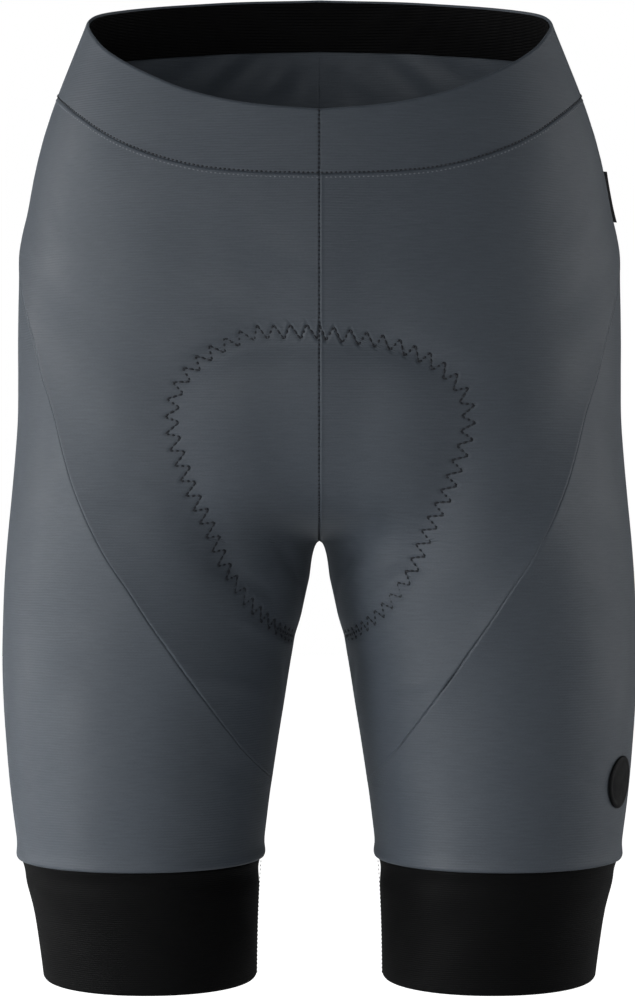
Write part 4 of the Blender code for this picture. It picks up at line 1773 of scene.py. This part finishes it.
@dataclass
class SeatPad:
    """The pad sewn inside the seat: one saddle from front to back, in millimetres."""

    cloth_thickness: float = 1.2
    gap: float = 0.5
    rim: float = 1.6
    middle: float = 6.5
    slope: float = 22.0
    channel_depth: float = 1.6
    channel_width: float = 2.2
    channel_place: float = 0.62
    row_step: float = 2.4
    columns: int = 36

    def quarter(self, face: Face) -> tuple[Array, Array]:
        """The front or back of the pad's left half.

        Args:
            face: front or back.

        Returns:
            Its points on the cloth's side and on the wearer's side.
        """
        level = graded((PAD_TOP, CROTCH, self.row_step), (CROTCH, PAD_BOTTOM, self.row_step))
        rows = FORM.pad_front if face is Face.FRONT else FORM.pad_back
        edge = FORM.edge_at(level, face)
        outline = np.clip(read_line(rows, level) * face.value, 0, edge * face.value - 1.2) * face.value
        angles = along_rows([outline, edge], [self.columns])
        heights = np.broadcast_to(level[:, None], angles.shape)
        across = np.abs(angles - angles[:, :1]) * DEGREE
        along = np.minimum(PAD_TOP - heights, heights - PAD_BOTTOM)
        full = soft_step(np.minimum(across, along) / self.slope)
        thick = self.rim + (self.middle - self.rim) * full
        share = across / np.maximum(across[:, -1:], 1e-6)
        away = (share - self.channel_place) * across[:, -1:]
        channel = np.exp(-((away / self.channel_width / 2) ** 2))
        thick = thick - self.channel_depth * channel * full
        depth = self.cloth_thickness + self.gap
        return FORM.skin(angles, heights, depth), FORM.skin(angles, heights, depth + thick)

    @staticmethod
    def weld(points: Array, quads: Array) -> tuple[Array, Array]:
        """Join points that lie in one place.

        Args:
            points: the points.
            quads: the faces between them.

        Returns:
            The numbers of the points that are kept, and the faces between those.
        """
        places = np.round(points / WELD).astype(np.int64)
        _, kept, joined = np.unique(places, axis=0, return_index=True, return_inverse=True)
        quads = joined.reshape(-1)[quads]
        flat = (quads[:, 0] == quads[:, 1]) | (quads[:, 2] == quads[:, 3])
        return kept, quads[~flat]

    def make(self, fleece: bpy.types.Material) -> bpy.types.Object:
        """Build the pad as one closed body, from four patches joined at their edges.

        Args:
            fleece: its finish.

        Returns:
            The pad.
        """
        quarters = {face: self.quarter(face) for face in Face}
        patches = [(face, side) for face in Face for side in Side]
        outer, inner = (
            np.concatenate([on_side(quarters[face][k], side).reshape(-1, 3) for face, side in patches])
            for k in range(2)
        )
        shape = quarters[Face.FRONT][0].shape[:2]
        index = np.arange(shape[0] * shape[1]).reshape(shape)
        cells = np.stack([index[:-1, :-1], index[:-1, 1:], index[1:, 1:], index[1:, :-1]], -1)
        cells = cells.reshape(-1, 4)
        turned = [cells if face.value * side.value > 0 else cells[:, ::-1] for face, side in patches]
        quads = np.concatenate([patch + k * index.size for k, patch in enumerate(turned)])
        kept, quads = self.weld(outer, quads)
        count = len(kept)
        edges = {(int(quad[k]), int(quad[(k + 1) % 4])) for quad in quads for k in range(4)}
        rims = [(a, b) for a, b in edges if (b, a) not in edges]
        faces = quads.tolist() + (quads[:, ::-1] + count).tolist()
        faces += [(b, a, a + count, b + count) for a, b in rims]
        whole = np.concatenate([outer[kept], inner[kept]])
        made = add_mesh("seat_pad_fleece", whole, faces, fleece)
        lay_map(made, np.stack([whole[:, 0], whole[:, 2] + whole[:, 1]], -1))
        lay_pressed(made, np.zeros(len(whole)))
        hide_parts("seat_pad")
        return made


@dataclass
class Sewing:
    """All the stitches, sewn over the seams."""

    seams: Seams
    zigzag: Zigzag
    panels: Panels
    centre: Stitch = Stitch(2.3, 1.25, 0.58, 0.25)
    cover_dark: Stitch = Stitch(2.4, 1.5, 0.48, 0.15)
    cover_light: Stitch = Stitch(2.4, 1.7, 0.48, 0.2)
    cover_gap: float = 2.0
    pad_down: Stitch = Stitch(3.0, 2.7, 0.58, 0.05)
    pad_up: Stitch = Stitch(3.0, 1.7, 0.6, 0.05)
    fine: Stitch = Stitch(2.2, 1.3, 0.3, 0.1, 4, 5)

    def both(self, lines: list[Array]) -> list[tuple[Array, Side]]:
        """The same lines on both sides."""
        return [(line, side) for line in lines for side in Side]

    def make(self, dark: bpy.types.Material, light: bpy.types.Material) -> list[bpy.types.Object]:
        """Sew every seam.

        Args:
            dark: the dark thread.
            light: the light thread.

        Returns:
            The pieces of stitching.
        """
        seams = self.seams
        folds = self.panels.folds(Face.FRONT) + self.panels.folds(Face.BACK)
        waist = [seams.waist_groove()]
        upper = laid_on(seams.waist + np.array([0, 0, 0.5]), waist, -0.15)
        lower = laid_on(Zigzag.settle(seams.waist - np.array([0, 0, self.cover_gap])), waist + folds, 0.1)
        return [
            self.centre.sew("centre_seam_stitches", self.middle_lines(), dark),
            self.cover_dark.sew("waist_cover_stitches_upper", self.both([upper]), dark),
            self.cover_light.sew("waist_cover_stitches_lower", self.both([lower]), light),
            self.pad_down.sew("pad_zigzag_stitches_long", self.pad_lines(True), dark),
            self.pad_up.sew("pad_zigzag_stitches_short", self.pad_lines(False), dark),
            self.fine.sew("side_and_leg_stitches", self.both(self.fine_lines(folds)), dark),
        ]

    def middle_lines(self) -> list[tuple[Array, Side]]:
        """The middle seams of the panels and of the waistband, just beside the joint.

        Returns:
            The lines, each with the side that it is sewn on.
        """
        lines = []
        for face in Face:
            troughs = self.panels.edges(face, Side.RIGHT) + self.panels.folds(face)
            for line in (self.seams.centre[face], self.seams.band_centre[face]):
                lines.append((laid_on(line, troughs, -0.35) + np.array([0.45, 0, 0]), Side.RIGHT))
        return lines

    def fine_lines(self, folds: list[Trough]) -> list[Array]:
        """The side seams, the inseam and the cuff.

        Args:
            folds: the folds that the lines follow.

        Returns:
            The lines of the left half.
        """
        seams = self.seams
        lines = [seams.side[Face.FRONT], seams.side[Face.BACK], seams.inseam, seams.cuff]
        return [laid_on(line, folds, 0.4) for line in lines]

    def pad_lines(self, long: bool) -> list[tuple[Array, Side]]:
        """The legs of the pad's zigzag, each as its own line.

        Args:
            long: whether the long legs are wanted, or the short ones.

        Returns:
            The lines, each with the side that it is sewn on.
        """
        lines = []
        for face in Face:
            for side in Side:
                line = self.seams.pad[face, side]
                folds = self.panels.folds(face) + [self.seams.pad_dip(face, side)]
                corners = laid_on(self.zigzag.corners(line, side, face), folds, 0.2)
                pairs = list(zip(corners[:-1], corners[1:]))
                first = 0 if long == (side is Side.LEFT) else 1
                lines += [(np.stack(pair), side) for pair in pairs[first::2]]
        return lines


@dataclass
class Trim:
    """The bare folded label and the bare round badge on the wearer's left, in millimetres."""

    label_height: float = 28.0
    label_reach: float = 15.0
    label_thickness: float = 1.2
    ribbon_thickness: float = 0.38
    label_level: float = -72.5
    label_angle: float = -14.0
    label_lean: float = 33.0
    badge_radius: float = 13.8
    badge_thickness: float = 1.1
    badge_angle: float = 33.5
    badge_height: float = -388.6
    layer_gap: float = 0.3
    label_sunk: float = 0.25
    label_bow: float = 1.2
    label_puff: float = 0.15
    label_rows: int = 25
    badge_points: int = 72

    def fold(self, inset: float) -> tuple[Array, Array]:
        """The line of the folded ribbon, seen from above.

        Args:
            inset: how far the line lies inside the outer face.

        Returns:
            How far each place stands out, and how far it lies to the side.
        """
        half = self.label_thickness / 2 - inset
        centre = self.label_reach - self.label_thickness / 2
        turn = np.radians(np.linspace(-80, 80, 11))
        flat = graded((0.0, centre, 1.0))[:-1]
        puff = half + self.label_puff * np.sin(np.pi * flat / centre)
        reach = np.concatenate([flat, centre + half * np.cos(turn), flat[::-1]])
        return reach, np.concatenate([-puff, half * np.sin(turn), puff[::-1]])

    def label(self, ribbon: bpy.types.Material) -> bpy.types.Object:
        """Build the folded ribbon, bare, with a soft bow down its length.

        Args:
            ribbon: its finish.

        Returns:
            The label.
        """
        share = np.linspace(-0.5, 0.5, self.label_rows)
        heights = self.label_level - self.label_height * share
        angles = np.full(self.label_rows, self.label_angle)
        root = FORM.skin(angles, heights, -self.layer_gap - self.label_sunk)
        lean = math.radians(self.label_lean)
        out = np.array([math.cos(lean), math.sin(lean), 0.0])
        side = np.array([-math.sin(lean), math.cos(lean), 0.0])
        grids = []
        for inset in (0.0, self.ribbon_thickness):
            reach, across = self.fold(inset)
            bow = self.label_bow * (1 - (2 * share) ** 2)[:, None]
            bow = bow * (reach / self.label_reach)[None, :] ** 2
            grids.append(root[:, None] + out * reach[:, None] + side * (across + bow)[..., None])
        made = wall("side_label_ribbon", grids[0], grids[1], np.zeros(grids[0].shape[:2]), ribbon)
        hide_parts("side_label")
        return made

    def badge(self, rubber: bpy.types.Material) -> bpy.types.Object:
        """Build the moulded disc with a raised rim, its face left bare.

        Args:
            rubber: its finish.

        Returns:
            The badge.
        """
        around = self.badge_points
        turn = np.radians(np.arange(around) * 360 / around)
        rise = self.badge_thickness
        profile = [
            (0.02, 0.80), (3.0, 0.80), (6.0, 0.80), (8.6, 0.80), (10.4, 0.80), (11.1, 0.84),
            (11.6, 0.98), (12.2, 1.06), (12.9, 1.04), (13.4, 0.92), (13.7, 0.66),
            (self.badge_radius, 0.35), (self.badge_radius, 0.0), (7.0, 0.0), (0.02, 0.0),
        ]
        centre = FORM.bare(self.badge_angle, self.badge_height)
        columns = FORM.half(np.array(self.badge_height))
        middle = np.array([columns[2], (columns[4] - columns[3]) / 2])
        radius = float(np.linalg.norm(centre[:2] - middle))
        rings = []
        for size, height in profile:
            angles = self.badge_angle + np.degrees(size * np.cos(turn) / radius)
            heights = self.badge_height + size * np.sin(turn)
            rings.append(FORM.skin(angles, heights, -self.layer_gap - rise * height))
        grid = np.array(rings)
        rows = len(profile)
        index = np.arange(rows * around).reshape(rows, around)
        after = np.roll(index, -1, axis=1)
        cells = np.stack([index[:-1], after[:-1], after[1:], index[1:]], -1).reshape(-1, 4)
        faces = cells.tolist() + [index[0][::-1].tolist(), index[-1].tolist()]
        made = add_mesh("leg_badge_disc", grid.reshape(-1, 3), faces, rubber)
        size = np.array([row[0] for row in profile])[:, None]
        uv = np.stack([size * np.cos(turn), size * np.sin(turn)], -1).reshape(-1, 2)
        lay_map(made, uv)
        lay_pressed(made, np.zeros(rows * around))
        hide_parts("leg_badge")
        return made


@dataclass
class Softbox:
    """One tall soft studio light, in metres and watts.

    Its azimuth is measured from the camera's side, positive towards the camera's right.
    """

    name: str
    azimuth: float
    power: float
    distance: float = 2.1
    width: float = 0.42
    height: float = 2.0
    level: float = 0.0
    target: tuple[float, float, float] = (0.0, 0.0, -0.24)
    spread: float = 180.0

    def make(self) -> bpy.types.Object:
        """Place the light, facing its target.

        Returns:
            The light.
        """
        light = bpy.data.lights.new(self.name, "AREA")
        light.shape = "RECTANGLE"
        light.size = self.width
        light.size_y = self.height
        light.energy = self.power
        light.spread = math.radians(self.spread)
        turn = math.radians(self.azimuth)
        place = Vector((self.distance * math.sin(turn), -self.distance * math.cos(turn), self.level))
        made = bpy.data.objects.new(self.name, light)
        made.location = place
        aim = Vector(self.target) - place
        made.rotation_euler = aim.to_track_quat("-Z", "Y").to_euler()
        bpy.context.scene.collection.objects.link(made)
        return made


@dataclass
class Studio:
    """Camera, lights, floor and white surroundings."""

    camera_place: tuple[float, float, float] = (-0.00108, -2.0, -0.240)
    focal_length: float = 133.33
    frame_height: float = 36.0
    floor_level: float = -0.62
    floor_size: float = 14.0
    surround: float = 0.02
    lights: tuple[Softbox, ...] = (
        Softbox("left_edge_softbox", -106, 21.0),
        Softbox("left_softbox", -64, 18.0),
        Softbox("front_softbox", -18, 13.5),
        Softbox("right_front_softbox", 36, 2.5),
        Softbox("right_softbox", 90, 12.5),
        Softbox("right_edge_softbox", 122, 5.0),
        Softbox("low_left_softbox", -60, 0.26, 0.85, 0.5, 0.2, -0.5, (0.0, 0.0, -0.5), 60.0),
    )

    def camera(self) -> bpy.types.Object:
        """Place the camera level with the middle of the shorts, straight in front.

        Returns:
            The camera.
        """
        lens = bpy.data.cameras.new("camera")
        lens.sensor_fit = "VERTICAL"
        lens.sensor_height = self.frame_height
        lens.lens = self.focal_length
        lens.clip_start = 0.05
        lens.clip_end = 60.0
        made = bpy.data.objects.new("camera", lens)
        made.location = self.camera_place
        made.rotation_euler = (math.radians(90), 0.0, 0.0)
        bpy.context.scene.collection.objects.link(made)
        bpy.context.scene.camera = made
        return made

    def floor(self) -> bpy.types.Object:
        """Lay the pale floor, which looks white to the camera.

        Returns:
            The floor.
        """
        mesh = bpy.data.meshes.new("floor")
        half = self.floor_size / 2
        corners = [(-half, -half), (half, -half), (half, half), (-half, half)]
        mesh.from_pydata([(x, y, self.floor_level) for x, y in corners], [], [(0, 1, 2, 3)])
        made = bpy.data.objects.new("floor", mesh)
        bpy.context.scene.collection.objects.link(made)
        material = bpy.data.materials.new("pale_floor")
        material.use_nodes = True
        board = NodeBoard(material.node_tree)
        shader = material.node_tree.nodes["Principled BSDF"]
        shader.inputs["Base Color"].default_value = (0.86, 0.86, 0.86, 1.0)
        shader.inputs["Roughness"].default_value = 0.9
        shader.inputs["Emission Color"].default_value = (1.0, 1.0, 1.0, 1.0)
        seen = board.add("LightPath").outputs["Is Camera Ray"]
        board.link(seen, shader.inputs["Emission Strength"])
        mesh.materials.append(material)
        return made

    def surroundings(self) -> None:
        """White behind the shorts for the camera, and a dimmer even light on the cloth."""
        world = bpy.data.worlds.new("white_surround")
        world.use_nodes = True
        bpy.context.scene.world = world
        board = NodeBoard(world.node_tree)
        background = world.node_tree.nodes["Background"]
        background.inputs["Color"].default_value = (1.0, 1.0, 1.0, 1.0)
        seen = board.add("LightPath").outputs["Is Camera Ray"]
        board.link(board.ramp(seen, 0.0, 1.0, self.surround, 1.0), background.inputs["Strength"])

    def make(self) -> None:
        """Set up the whole studio."""
        self.camera()
        self.floor()
        self.surroundings()
        for light in self.lights:
            light.make()
        view = bpy.context.scene.view_settings
        view.view_transform = "Standard"


def main() -> None:
    """Dress the shorts and set up the studio."""
    logging.basicConfig(level=logging.INFO, format="%(message)s")
    shop = Workshop()
    slate = SLATE.make(shop)
    seams = Seams()
    zigzag = Zigzag()
    Studio().make()
    LOG.info("studio ready")
    panels = Panels(seams, zigzag)
    for face in Face:
        panels.upper(face, slate)
    panels.sides(slate)
    LegBands(seams).make(GRIPPER.make(shop))
    waist = Waist(seams)
    waist.halves(slate)
    waist.elastic(ELASTIC.make(shop))
    SeatPad().make(FLEECE.make(shop))
    Sewing(seams, zigzag, panels).make(DARK_THREAD.make(shop), LIGHT_THREAD.make(shop))
    trim = Trim()
    trim.label(RIBBON.make(shop))
    trim.badge(RUBBER.make(shop))


if __name__ == "__main__":
    main()
